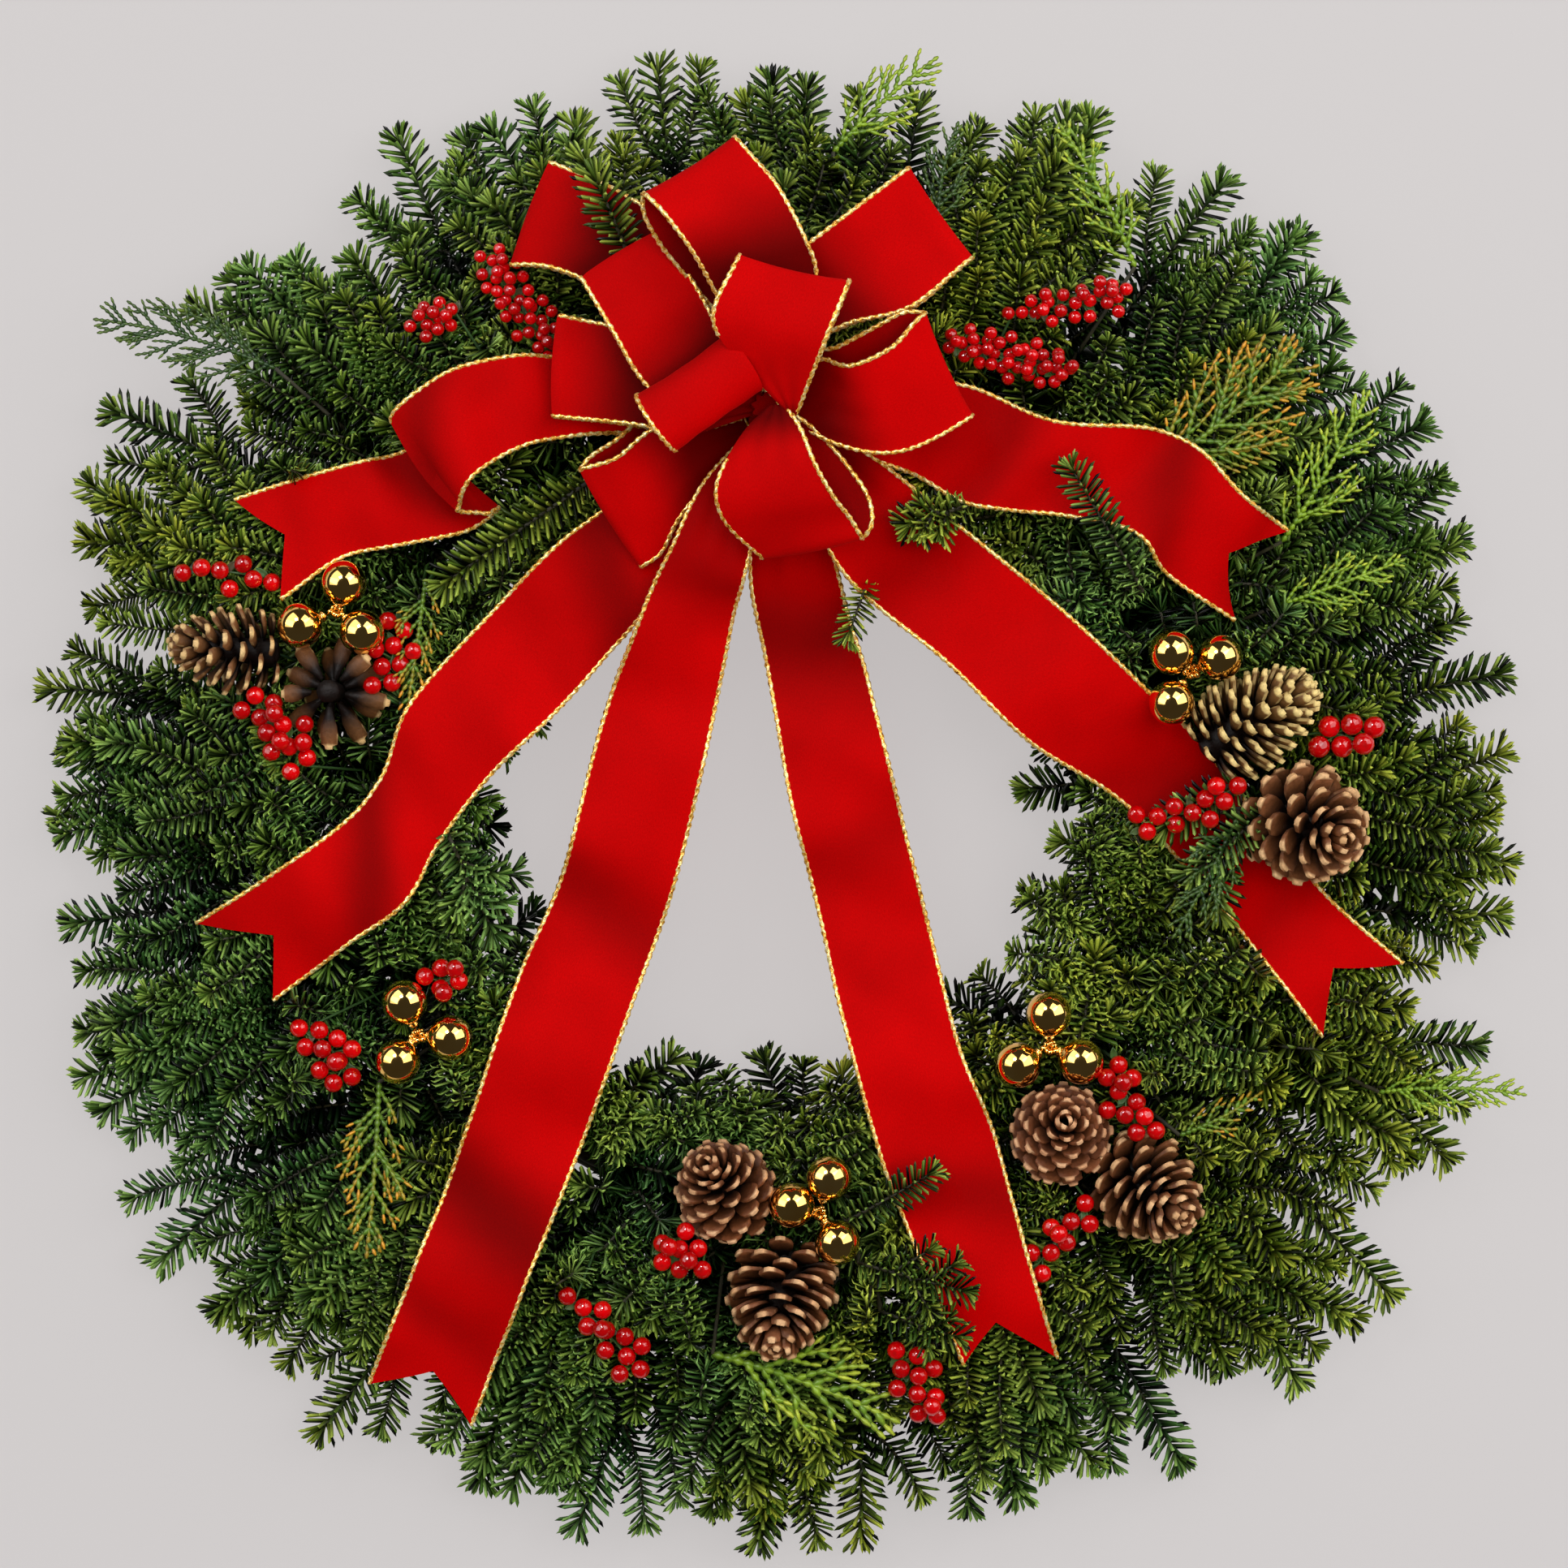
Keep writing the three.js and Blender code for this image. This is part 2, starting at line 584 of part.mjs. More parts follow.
function fanOutline({ length, width }) {
  const shape = new THREE.Shape().moveTo(fanHeel, -fanRib);
  const lobes = Array.from({ length: fanPairs }, (_, i) => (i + 0.6) / (fanPairs + 0.6));
  const spread = (t) => width / 2 * Math.sin(Math.PI * (0.25 + 0.7 * t));
  for (const t of lobes) {
    const x = t * length;
    shape.lineTo(x - 5, -fanRib);
    shape.lineTo(x + spread(t) * 0.75, -spread(t));
    shape.lineTo(x + 3, -fanRib);
  }
  shape.lineTo(length, 0);
  for (const t of lobes.reverse()) {
    const x = t * length + 3;
    shape.lineTo(x + 3, fanRib);
    shape.lineTo(x + spread(t) * 0.75, spread(t));
    shape.lineTo(x - 5, fanRib);
  }
  shape.lineTo(fanHeel, fanRib);
  return shape;
}

function cedarFan(spec) {
  const sheet = { depth: cedarSheet, bevelEnabled: false };
  const fan = new THREE.ExtrudeGeometry(fanOutline(spec), sheet);
  const position = fan.attributes.position;
  for (let i = 0; i < position.count; i++) {
    const t = position.getX(i) / spec.length;
    position.setZ(i, position.getZ(i) + spec.arch * (Math.sin(1.7 * t) - 1.9 * t * t));
  }
  fan.rotateZ(rad(spec.heading)).translate(...spec.at);
  const root = pickPath(spec.at, spec.foot);
  root[root.length - 1].z += cedarSheet / 2;
  return joined([fan, tube(root, cedarStem, 3)]);
}

// Fir: each bunch is a short arc of gathered stems with sprigs growing out of it.
// Sprigs by layer: root offset in degrees, tip radius and height, whorls of needles, lean
const layers = [
  { offset: -8, reach: 446, tipZ: 26, bow: 18, whorls: 3, lean: -5 },
  { offset: -1, reach: 452, tipZ: 22, bow: 24, whorls: 2, lean: 0 },
  { offset: 6.4, reach: 446, tipZ: 30, bow: 18, whorls: 2, lean: 5 },
  { offset: -4.4, reach: 404, tipZ: 66, bow: 26, whorls: 3, lean: -5 },
  { offset: 3, reach: 346, tipZ: 92, bow: 24, whorls: 2, lean: 3 },
  { offset: -6.2, reach: 164, tipZ: 26, bow: 12, whorls: 2, lean: -2 },
  { offset: 4.8, reach: 186, tipZ: 78, bow: 18, whorls: 2, lean: 3 },
];
const outline = { square: 11, jitter: 9 };
const whorlTurn = rad(25);
const curveSteps = 8;
const triesPerSprig = 60;

function outerReach(reach, degrees) {
  const squareness = outline.square * Math.cos(4 * rad(degrees - 45));
  return reach + (reach > bunch.stubR ? squareness * reach / 450 : 0);
}

function sprigPath(layer, sector, index, attempt) {
  const seed = sector * 31 + index * 7 + attempt * 101;
  const middle = (sector + 0.5) * 360 / bunch.count;
  const root = middle + layer.offset;
  const sway = layer.lean + draw(seed) * (3 + attempt * 0.5);
  const inward = layer.reach < bunch.stubR;
  const tip = root + sway * (inward ? 1.8 : 1);
  const reach = outerReach(layer.reach, tip) + draw(seed + 1) * outline.jitter;
  const tipZ = layer.tipZ + draw(seed + 2) * 5 + 3;
  const start = polar(bunch.stubR + (inward ? -4 : 4), root, bundleZ + 1);
  const halfZ = mix(bundleZ, tipZ, 0.6) + layer.bow;
  const half = polar(mix(bunch.stubR, reach, 0.5), mix(root, tip, 0.35), halfZ);
  return new THREE.QuadraticBezierCurve3(start, half, polar(reach, tip, tipZ));
}

function isPathClear(curve) {
  const points = curve.getPoints(curveSteps);
  const isRoot = (i) => i < 3;
  return points.slice(1).every((end, i) => (
    isClear(points[i], end, core.root, (item) => isRoot(i) && item.owner !== undefined)));
}

function clearPath(layer, sector, index) {
  for (let attempt = 0; attempt < triesPerSprig; attempt++) {
    const curve = sprigPath(layer, sector, index, attempt);
    if (isPathClear(curve)) return curve;
  }
  return null;
}

function sprigRings(curve, whorls) {
  const length = curve.getLength();
  const step = needle.whorlLength / length;
  const pitch = (1 - needle.bare / length) / whorls;
  const stops = [0];
  for (let k = whorls - 1; k >= 0; k--) stops.push(1 - k * pitch - 2 * step, 1 - k * pitch - step);
  return courseOf(stops.map((u) => curve.getPointAt(u))).map(({ point, side }, i) => {
    const along = curve.getTangentAt(stops[i]);
    const turned = side.applyAxisAngle(along, whorlTurn * i);
    return ringAcross(point, along, turned, mix(core.root, core.tip, stops[i]), 3);
  });
}

// The end of one needle, or nothing where there is no room for it
function needleTip(base, along, out, owner, seed) {
  for (const [lean, share] of [[0, 1], [-16, 1], [16, 0.9], [-26, 0.8], [0, 0.6], [-20, 0.5]]) {
    const angle = rad(needle.lean + lean + draw(seed) * 4);
    const tip = base.clone().addScaledVector(along, needle.length * share * Math.cos(angle));
    tip.addScaledVector(out, needle.length * share * Math.sin(angle));
    tip.z = Math.max(tip.z, 2.5);
    const foot = base.clone().lerp(tip, 0.12);
    if (isClear(foot, tip, needle.halfWidth, (item) => item.owner === owner)) return tip;
  }
  return null;
}

function sprig(curve, whorls, owner) {
  const rings = sprigRings(curve, whorls);
  const tips = [];
  const spikeFor = (i, s, half) => {
    if (i % 2 === 0) return null;
    const [low, high] = [rings[i], rings[i + 1]];
    const next = (s + 1) % 3;
    const base = middleOf(half ? [low[next], high[next], high[s]] : [low[s], low[next], high[s]]);
    const along = middleOf(high).sub(middleOf(low)).normalize();
    const normal = base.clone().sub(middleOf([...low, ...high])).projectOnPlane(along).normalize();
    const out = normal.applyAxisAngle(along, half ? 0.16 : -0.16);
    const tip = needleTip(base, along, out, owner, taken.length);
    if (tip) tips.push([base, tip]);
    return tip;
  };
  const body = loft(rings, spikeFor);
  for (const [base, tip] of tips) takeSegment(base, tip, needle.halfWidth, owner);
  return geometryOf(body);
}

function stub(sector) {
  const span = 360 / bunch.count;
  const trim = THREE.MathUtils.radToDeg(bunch.endGap / 2 / bunch.stubR);
  const [first, last] = [sector * span + trim, (sector + 1) * span - trim];
  const stops = [0, 1 / 3, 2 / 3, 1];
  const path = stops.map((t) => polar(bunch.stubR, mix(first, last, t), bundleZ));
  return tube(path, bunch.stubRadius, 6);
}

// All the sprigs' cores are placed before any needles are
function firBunches() {
  const placed = [];
  for (let sector = 0; sector < bunch.count; sector++) {
    placed.push(layers.map((layer, index) => {
      const curve = clearPath(layer, sector, index);
      const owner = `sprig_${sector}_${index}`;
      const points = curve ? curve.getPoints(curveSteps) : [];
      points.slice(1).forEach((end, i) => takeSegment(points[i], end, core.root, owner));
      return { curve, owner, whorls: layer.whorls };
    }).filter(({ curve }) => curve));
  }
  return placed.map((sprigs, sector) => joined([
    stub(sector), ...sprigs.map(({ curve, whorls, owner }) => sprig(curve, whorls, owner)),
  ]));
}

// The wire that ties the bow down through the foliage to the frame's top cross wire
function tie() {
  const path = [
    vec(0, bunch.stubR, frame.wire + seatGap),
    vec(0, bunch.stubR, 40),
    vec(knot.at[0] + 1, knot.at[1] + 1, 80),
    vec(...knot.at, knot.low - seatGap),
  ];
  return tube(path, tieWire, 4);
}

// Assembly
const model = new THREE.Group();

function place(name, geometry, colour, metalness, roughness, owned = true) {
  const material = new THREE.MeshStandardMaterial({ color: colours[colour], metalness, roughness });
  const mesh = new THREE.Mesh(geometry, material);
  mesh.name = name;
  model.add(mesh);
  if (owned) takeGeometry(geometry);
}

function placeEach(specs, prefix, geometryFor, colour, metalness, roughness) {
  for (const [name, spec] of Object.entries(specs)) {
    place(`${prefix}${name}`, geometryFor(spec), colour, metalness, roughness);
  }
}

place("wire_ring", wireFrame(), "steel", 0.6, 0.5);
place("bow_loops", joined([knotBlock(), ...Object.values(loops).map(loopStrip)]), "velvet", 0, 0.85);
place("bow_tie", tie(), "steel", 0.6, 0.5);
placeEach(tails, "tail_", tailStrip, "velvet", 0, 0.85);
placeEach(cones, "cone_", placedCone, "cone", 0, 0.7);
placeEach(ballTrios, "balls_", ballTrio, "gold", 1, 0.12);
placeEach(berrySprays, "berries_", berrySpray, "berry", 0, 0.3);
for (const [name, spec] of Object.entries(cedars)) {
  place(name, cedarFan(spec), spec.isDark ? "cedarDark" : "cedarLight", 0, 0.6);
}
firBunches().forEach((geometry, sector) => {
  const number = String(sector + 1).padStart(2, "0");
  place(`fir_bunch_${number}`, geometry, "fir", 0, 0.6, false);
});

// The middle of the footprint becomes the origin
const footprint = new THREE.Box3().setFromObject(model).getCenter(new THREE.Vector3());
model.position.set(-footprint.x, -footprint.y, 0);

export default model;
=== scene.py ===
# Fresh evergreen wreath on its back: fir and cedar on a wire frame, cones, gold balls,
# berries and a bow of wired velvet ribbon. Pieces are drawn in millimetres round the
# ring's centre and then set in metres in the frame.
import math

import bmesh
import bpy
import numpy as np
from mathutils import Matrix, Vector


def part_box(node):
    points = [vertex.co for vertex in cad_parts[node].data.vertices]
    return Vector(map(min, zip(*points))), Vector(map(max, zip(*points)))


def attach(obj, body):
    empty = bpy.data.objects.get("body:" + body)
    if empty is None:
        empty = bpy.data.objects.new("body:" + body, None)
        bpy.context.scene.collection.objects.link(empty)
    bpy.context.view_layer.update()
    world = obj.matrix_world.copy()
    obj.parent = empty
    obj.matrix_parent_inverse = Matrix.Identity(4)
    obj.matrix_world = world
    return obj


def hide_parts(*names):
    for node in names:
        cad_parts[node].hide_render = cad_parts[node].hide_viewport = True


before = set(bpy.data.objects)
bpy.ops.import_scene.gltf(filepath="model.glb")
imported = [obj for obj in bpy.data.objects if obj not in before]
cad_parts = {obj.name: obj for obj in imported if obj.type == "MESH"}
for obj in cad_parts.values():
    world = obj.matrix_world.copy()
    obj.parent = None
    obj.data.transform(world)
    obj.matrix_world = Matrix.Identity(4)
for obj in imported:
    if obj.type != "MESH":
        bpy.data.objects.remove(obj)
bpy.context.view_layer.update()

ringLow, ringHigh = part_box("wire_ring")
ringCentre = Vector(((ringLow.x + ringHigh.x) / 2, (ringLow.y + ringHigh.y) / 2, 0))
toFrame = Matrix.Translation(ringCentre) @ Matrix.Scale(0.001, 4)
fullTurn = math.pi * 2


def draw(seed):  # a repeatable draw between -1 and 1
    wave = math.sin(seed * 12.9898 + 78.233) * 43758.5453
    return 2 * (wave - math.floor(wave)) - 1


def mix(a, b, t):
    return a + (b - a) * t


def smooth(t):
    t = np.clip(t, 0, 1)
    return t * t * (3 - 2 * t)


def polar(radius, degrees, z):
    return np.array([radius * math.cos(math.radians(degrees)), radius * math.sin(math.radians(degrees)), z])


def unit(v):
    return v / np.maximum(np.linalg.norm(v, axis=-1, keepdims=True), 1e-9)


def pieceName(kind, key):
    return kind + "".join(word.capitalize() for word in key.split("_"))


def clearSelection():
    if bpy.context.object and bpy.context.object.mode != "OBJECT":
        bpy.ops.object.mode_set(mode="OBJECT")
    bpy.ops.object.select_all(action="DESELECT")


def startEdit(mode="FACE"):
    bpy.ops.object.mode_set(mode="EDIT")
    bpy.ops.mesh.select_mode(type=mode)
    bpy.ops.mesh.select_all(action="DESELECT")


def endEdit():
    bpy.ops.object.mode_set(mode="OBJECT")
    return bpy.context.object


def pickFaces(test):  # selects the faces whose middle and normal pass the test
    mesh = bmesh.from_edit_mesh(bpy.context.object.data)
    for face in mesh.faces:
        face.select_set(bool(test(face.calc_center_median(), face.normal)))
    bmesh.update_edit_mesh(bpy.context.object.data)


def pickPoints(test):
    mesh = bmesh.from_edit_mesh(bpy.context.object.data)
    for point in mesh.verts:
        point.select_set(bool(test(point.co)))
    mesh.select_flush_mode()
    bmesh.update_edit_mesh(bpy.context.object.data)


def extrude(by, size=1.0):
    bpy.ops.mesh.extrude_region_move(TRANSFORM_OT_translate={"value": by})
    if size != 1.0:
        bpy.ops.transform.resize(value=(size, size, size))


def applyModifiers(thing):
    clearSelection()
    thing.select_set(True)
    bpy.context.view_layer.objects.active = thing
    for modifier in list(thing.modifiers):
        bpy.ops.object.modifier_apply(modifier=modifier.name)


def stockOf(thing):  # a modelled shape's points and triangles, to be copied many times
    mesh = bmesh.new()
    mesh.from_mesh(thing.data)
    bmesh.ops.triangulate(mesh, faces=mesh.faces)
    mesh.verts.index_update()
    points = np.array([v.co[:] for v in mesh.verts])
    triangles = np.array([[v.index for v in f.verts] for f in mesh.faces])
    mesh.free()
    bpy.data.objects.remove(thing)
    return points, triangles


class Heap:  # copies of stock shapes gathered into one mesh, with their attributes
    def __init__(self):
        self.points, self.triangles, self.slots, self.count = [], [], [], 0
        self.values = {}

    def add(self, points, triangles, slot=0, **values):
        copies = points.reshape(-1, points.shape[-2], 3)
        perCopy = copies.shape[1]
        starts = self.count + np.arange(len(copies)) * perCopy
        self.triangles.append((triangles[None] + starts[:, None, None]).reshape(-1, 3))
        self.points.append(copies.reshape(-1, 3))
        self.slots.append(np.full(len(copies) * len(triangles), slot))
        for name, value in values.items():
            spread = np.broadcast_to(np.asarray(value, float), copies.shape[:2])
            self.values.setdefault(name, []).append((self.count, spread.reshape(-1)))
        self.count += copies.shape[0] * perCopy

    def addTube(self, path, radius, sides, slot=0, up=(0, 0, 1), **values):
        points, triangles = tubeAlong(path, radius, sides, up)
        self.add(points[None], triangles, slot, **values)

    def build(self, name, materials):
        mesh = bpy.data.meshes.new(name)
        triangles = np.concatenate(self.triangles)
        mesh.vertices.add(self.count)
        mesh.vertices.foreach_set("co", np.concatenate(self.points).ravel())
        mesh.loops.add(triangles.size)
        mesh.loops.foreach_set("vertex_index", triangles.ravel())
        mesh.polygons.add(len(triangles))
        mesh.polygons.foreach_set("loop_start", np.arange(0, triangles.size, 3))
        mesh.polygons.foreach_set("material_index", np.concatenate(self.slots))
        mesh.polygons.foreach_set("use_smooth", np.ones(len(triangles), bool))
        mesh.update(calc_edges=True)
        for key, parts in self.values.items():
            whole = np.zeros(self.count)
            for start, values in parts:
                whole[start:start + len(values)] = values
            attribute = mesh.attributes.new(key, "FLOAT", "POINT")
            attribute.data.foreach_set("value", whole)
        for material in materials:
            mesh.materials.append(material)
        thing = bpy.data.objects.new(name, mesh)
        bpy.context.scene.collection.objects.link(thing)
        return thing


def settle(thing, name, nodes=()):  # from millimetres round the ring to the frame
    thing.name = name
    thing.data.name = name
    thing.data.transform(toFrame)
    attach(thing, "root")
    if nodes:
        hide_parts(*nodes)
    return thing


def curvePoints(controls, count):  # a quadratic curve, led by three control points
    t = np.linspace(0, 1, count)[:, None]
    start, half, end = [np.asarray(p, float) for p in controls]
    return start * (1 - t) ** 2 + half * 2 * t * (1 - t) + end * t * t


def distancesAlong(path):
    return np.concatenate([[0], np.cumsum(np.linalg.norm(np.diff(path, axis=0), axis=1))])


def framesAlong(path, up=(0, 0, 1)):  # forwards, sideways and upwards at each point
    along = unit(np.gradient(path, axis=0))
    side = unit(np.cross(np.asarray(up, float), along))
    return along, side, np.cross(along, side)


def tubeTriangles(rows, sides):  # rings joined side by side, with a fan over each end
    here = np.arange(sides)
    after = (here + 1) % sides
    starts = np.arange(rows - 1)[:, None] * sides
    a, b = (starts + here).ravel(), (starts + after).ravel()
    last = (rows - 1) * sides
    return np.concatenate([
        np.stack([a, b, b + sides], 1), np.stack([a, b + sides, a + sides], 1),
        np.stack([np.full(sides, rows * sides), after, here], 1),
        np.stack([np.full(sides, rows * sides + 1), here + last, after + last], 1)])


def tubeAlong(path, radius, sides, up=(0, 0, 1)):  # one radius, one for each point or for each corner
    along, side, top = framesAlong(path, up)
    angle = np.arange(sides)[None] * fullTurn / sides
    radius = np.asarray(radius, float)
    radius = radius[:, None] if radius.ndim == 1 else radius
    rings = (path[:, None] + side[:, None] * (np.cos(angle) * radius)[..., None]
             + top[:, None] * (np.sin(angle) * radius)[..., None])
    return np.concatenate([rings.reshape(-1, 3), path[:1], path[-1:]]), tubeTriangles(len(path), sides)


def newMaterial(name):
    material = bpy.data.materials.new(name)
    material.use_nodes = True
    return material, material.node_tree, material.node_tree.nodes["Principled BSDF"]


def setInputs(node, values):
    for name, value in values.items():
        node.inputs[name].default_value = value


def feed(tree, socket, value):  # another node's output, a number or a colour
    if isinstance(value, bpy.types.NodeSocket):
        tree.links.new(value, socket)
    else:
        socket.default_value = value if isinstance(value, (int, float)) else (*value, 1)


def attributeIn(tree, name):
    node = tree.nodes.new("ShaderNodeAttribute")
    node.attribute_name = name
    return node.outputs["Fac"]


def rampIn(tree, source, stops):  # a stop is a place and a colour, or one number for a grey
    node = tree.nodes.new("ShaderNodeValToRGB")
    while len(node.color_ramp.elements) < len(stops):
        node.color_ramp.elements.new(0.5)
    for element, (place, colour) in zip(node.color_ramp.elements, stops):
        element.position = place
        element.color = (*colour, 1) if isinstance(colour, tuple) else (colour, colour, colour, 1)
    tree.links.new(source, node.inputs["Fac"])
    return node.outputs["Color"]


def mixIn(tree, kind, share, first, second):
    node = tree.nodes.new("ShaderNodeMix")
    node.data_type = "RGBA"
    node.blend_type = kind
    for number, value in ((0, share), (6, first), (7, second)):  # 6 and 7 are its two colours
        feed(tree, node.inputs[number], value)
    return node.outputs[2]


def tinted(tree, colour, source, stops, share=1.0):  # a colour multiplied by a ramp
    return mixIn(tree, "MULTIPLY", share, colour, rampIn(tree, source, stops))


def mathIn(tree, operation, first, second):
    node = tree.nodes.new("ShaderNodeMath")
    node.operation = operation
    feed(tree, node.inputs[0], first)
    feed(tree, node.inputs[1], second)
    return node.outputs[0]


def noiseIn(tree, scale, detail=4.0, roughness=0.6, stretch=(1, 1, 1), on=None):
    if on is None:
        on = tree.nodes.new("ShaderNodeTexCoord").outputs["Object"]
    mapping = tree.nodes.new("ShaderNodeMapping")
    setInputs(mapping, {"Scale": stretch})
    noise = tree.nodes.new("ShaderNodeTexNoise")
    setInputs(noise, {"Scale": scale, "Detail": detail, "Roughness": roughness})
    tree.links.new(on, mapping.inputs["Vector"])
    tree.links.new(mapping.outputs["Vector"], noise.inputs["Vector"])
    return noise.outputs["Fac"]


def bumpIn(tree, height, strength, distance, shader):
    bump = tree.nodes.new("ShaderNodeBump")
    setInputs(bump, {"Strength": strength, "Distance": distance})
    tree.links.new(height, bump.inputs["Height"])
    tree.links.new(bump.outputs["Normal"], shader.inputs["Normal"])


def dress(tree, shader, colour, roughness, more=None):
    feed(tree, shader.inputs["Base Color"], colour)
    feed(tree, shader.inputs["Roughness"], roughness)
    setInputs(shader, more or {})


def firMaterial():
    material, tree, shader = newMaterial("firNeedles")
    tone, along, young = (attributeIn(tree, name) for name in ("tone", "along", "young"))
    # tone carries tone that differs at random and painted shade: low tones, deep in the foliage and on the
    # lower rows of needles, are painted near black
    deep = rampIn(tree, tone, [(0.0, (0.0003, 0.0010, 0.0004)), (0.28, (0.011, 0.035, 0.006)),
                               (0.58, (0.058, 0.150, 0.025)), (1.0, (0.38, 0.58, 0.14))])
    fresh = rampIn(tree, tone, [(0.0, (0.002, 0.005, 0.001)), (0.5, (0.135, 0.225, 0.014)),
                                (1.0, (0.50, 0.60, 0.08))])
    green = mixIn(tree, "MIX", young, deep, fresh)
    # each needle is painted darker at its foot, as painted shade near the twig, and paler towards its tip
    green = tinted(tree, green, along, [(0.0, 0.14), (0.55, 0.95), (1.0, (1.4, 1.35, 1.2))])  # pale tips
    patches = [(0.3, (0.5, 0.58, 0.55)), (0.7, (1.25, 1.2, 1.0))]
    green = tinted(tree, green, noiseIn(tree, 9.0), patches, 0.6)
    hues = [(0.38, (0.78, 1.0, 1.35)), (0.62, (1.15, 1.0, 0.65))]  # bluer here, yellower there
    green = tinted(tree, green, noiseIn(tree, 4.0, detail=2.0), hues)
    rough = rampIn(tree, noiseIn(tree, 300.0), [(0.3, 0.36), (0.8, 0.52)])
    dress(tree, shader, green, rough, {"Specular IOR Level": 0.27})
    return material


def barkMaterial():
    material, tree, shader = newMaterial("twigBark")
    grain = noiseIn(tree, 220.0, stretch=(1, 1, 0.3))
    brown = rampIn(tree, grain, [(0.3, (0.014, 0.012, 0.005)), (0.7, (0.050, 0.044, 0.018))])
    dress(tree, shader, brown, 0.85)
    bumpIn(tree, grain, 0.5, 0.0006, shader)
    return material


def velvetMaterial():
    material, tree, shader = newMaterial("redVelvet")
    cloth = tree.nodes.new("ShaderNodeUVMap").outputs["UV"]
    nap = noiseIn(tree, 900.0, detail=5.0, roughness=0.5, stretch=(1.6, 0.7, 1), on=cloth)  # a brushed pile
    brushed = noiseIn(tree, 16.0, detail=2.0)
    red = rampIn(tree, brushed, [(0.3, (0.55, 0.0, 0.0003)), (0.7, (0.68, 0.0002, 0.0006))])
    red = tinted(tree, red, nap, [(0.3, 0.72), (0.75, 1.2)], 0.5)
    # painted shade: the shade attribute darkens the red to deep maroon in folds, under other loops and near
    # the knot
    redInPaintedShade = mixIn(tree, "MIX", attributeIn(tree, "shade"), (0.115, 0.0, 0.0), red)
    dress(tree, shader, redInPaintedShade, 0.82, {"Specular IOR Level": 0.03, "Sheen Weight": 0.18,
                                       "Sheen Roughness": 0.4, "Sheen Tint": (1.0, 0.02, 0.015, 1)})
    bumpIn(tree, nap, 0.25, 0.0004, shader)
    return material


def goldThreadMaterial():
    material, tree, shader = newMaterial("goldThread")
    grain = noiseIn(tree, 420.0, detail=3.0, roughness=0.75)
    # the grain's colour varies along the thread, and its palest specks are painted glints
    gold = rampIn(tree, grain, [(0.34, (0.24, 0.055, 0.002)), (0.46, (0.95, 0.46, 0.03)),
                                (0.60, (1.0, 0.90, 0.42))])
    glint = rampIn(tree, noiseIn(tree, 1500.0, detail=1.0), [(0.35, 0.5), (0.65, 0.2)])
    dress(tree, shader, gold, glint, {"Metallic": 0.45})
    bumpIn(tree, grain, 0.9, 0.0006, shader)
    return material


def mirrorGoldMaterial():
    material, tree, shader = newMaterial("mirrorGold")
    cloud = noiseIn(tree, 60.0, detail=2.0)
    gold = rampIn(tree, cloud, [(0.3, (0.92, 0.50, 0.10)), (0.7, (1.0, 0.62, 0.17))])
    haze = rampIn(tree, noiseIn(tree, 140.0), [(0.3, 0.05), (0.8, 0.11)])
    dress(tree, shader, gold, haze, {"Metallic": 1.0, "Coat Weight": 0.4, "Coat Roughness": 0.03})
    return material


def berryMaterial():
    material, tree, shader = newMaterial("berrySkin")
    red = rampIn(tree, attributeIn(tree, "tone"), [(0.0, (0.50, 0.0, 0.001)), (1.0, (0.88, 0.0, 0.002))])
    red = tinted(tree, red, noiseIn(tree, 160.0), [(0.3, 0.6), (0.7, 1.1)], 0.3)
    dimple = mathIn(tree, "MULTIPLY", attributeIn(tree, "dimple"), 0.3)
    skin = mixIn(tree, "MIX", dimple, red, (0.05, 0.01, 0.008))
    dress(tree, shader, skin, 0.12, {"Specular IOR Level": 0.3, "Coat Weight": 0.7, "Coat Roughness": 0.03})
    return material


def bractMaterial():
    material, tree, shader = newMaterial("berryStem")
    green = rampIn(tree, attributeIn(tree, "tone"), [(0.0, (0.03, 0.075, 0.02)), (0.6, (0.06, 0.15, 0.03)),
                                                     (1.0, (0.10, 0.06, 0.03))])
    green = tinted(tree, green, noiseIn(tree, 250.0), [(0.3, 0.6), (0.7, 1.25)], 0.6)
    dress(tree, shader, green, 0.6)
    return material


def coneMaterial():
    material, tree, shader = newMaterial("coneScales")
    along, lip, tone, tan = (attributeIn(tree, name) for name in ("along", "lip", "tone", "tan"))
    grain = noiseIn(tree, 420.0, detail=5.0)
    rim = rampIn(tree, tone, [(0.0, (0.66, 0.31, 0.15)), (1.0, (1.0, 0.58, 0.32))])
    rim = mixIn(tree, "MIX", tan, rim, (1.0, 0.76, 0.30))
    face = rampIn(tree, tone, [(0.0, (0.130, 0.038, 0.014)), (1.0, (0.280, 0.088, 0.032))])
    face = mixIn(tree, "MIX", tan, face, (0.22, 0.105, 0.03))
    # painted shade: the inner part of each scale and the spindle are painted near black, where the scales
    # shade each other
    outer = rampIn(tree, along, [(0.3, 0.0), (0.9, 1.0)])  # dark between the scales
    face = mixIn(tree, "MIX", outer, (0.006, 0.002, 0.001), face)
    worn = mathIn(tree, "ADD", lip, mathIn(tree, "MULTIPLY", tan, 0.16))
    scale = mixIn(tree, "MIX", rampIn(tree, worn, [(0.60, 0.0), (0.82, 1.0)]), face, rim)
    scale = tinted(tree, scale, grain, [(0.3, (0.5, 0.48, 0.45)), (0.7, (1.3, 1.25, 1.2))], 0.5)
    dress(tree, shader, scale, 0.6, {"Specular IOR Level": 0.2})
    bumpIn(tree, grain, 0.6, 0.0008, shader)
    return material


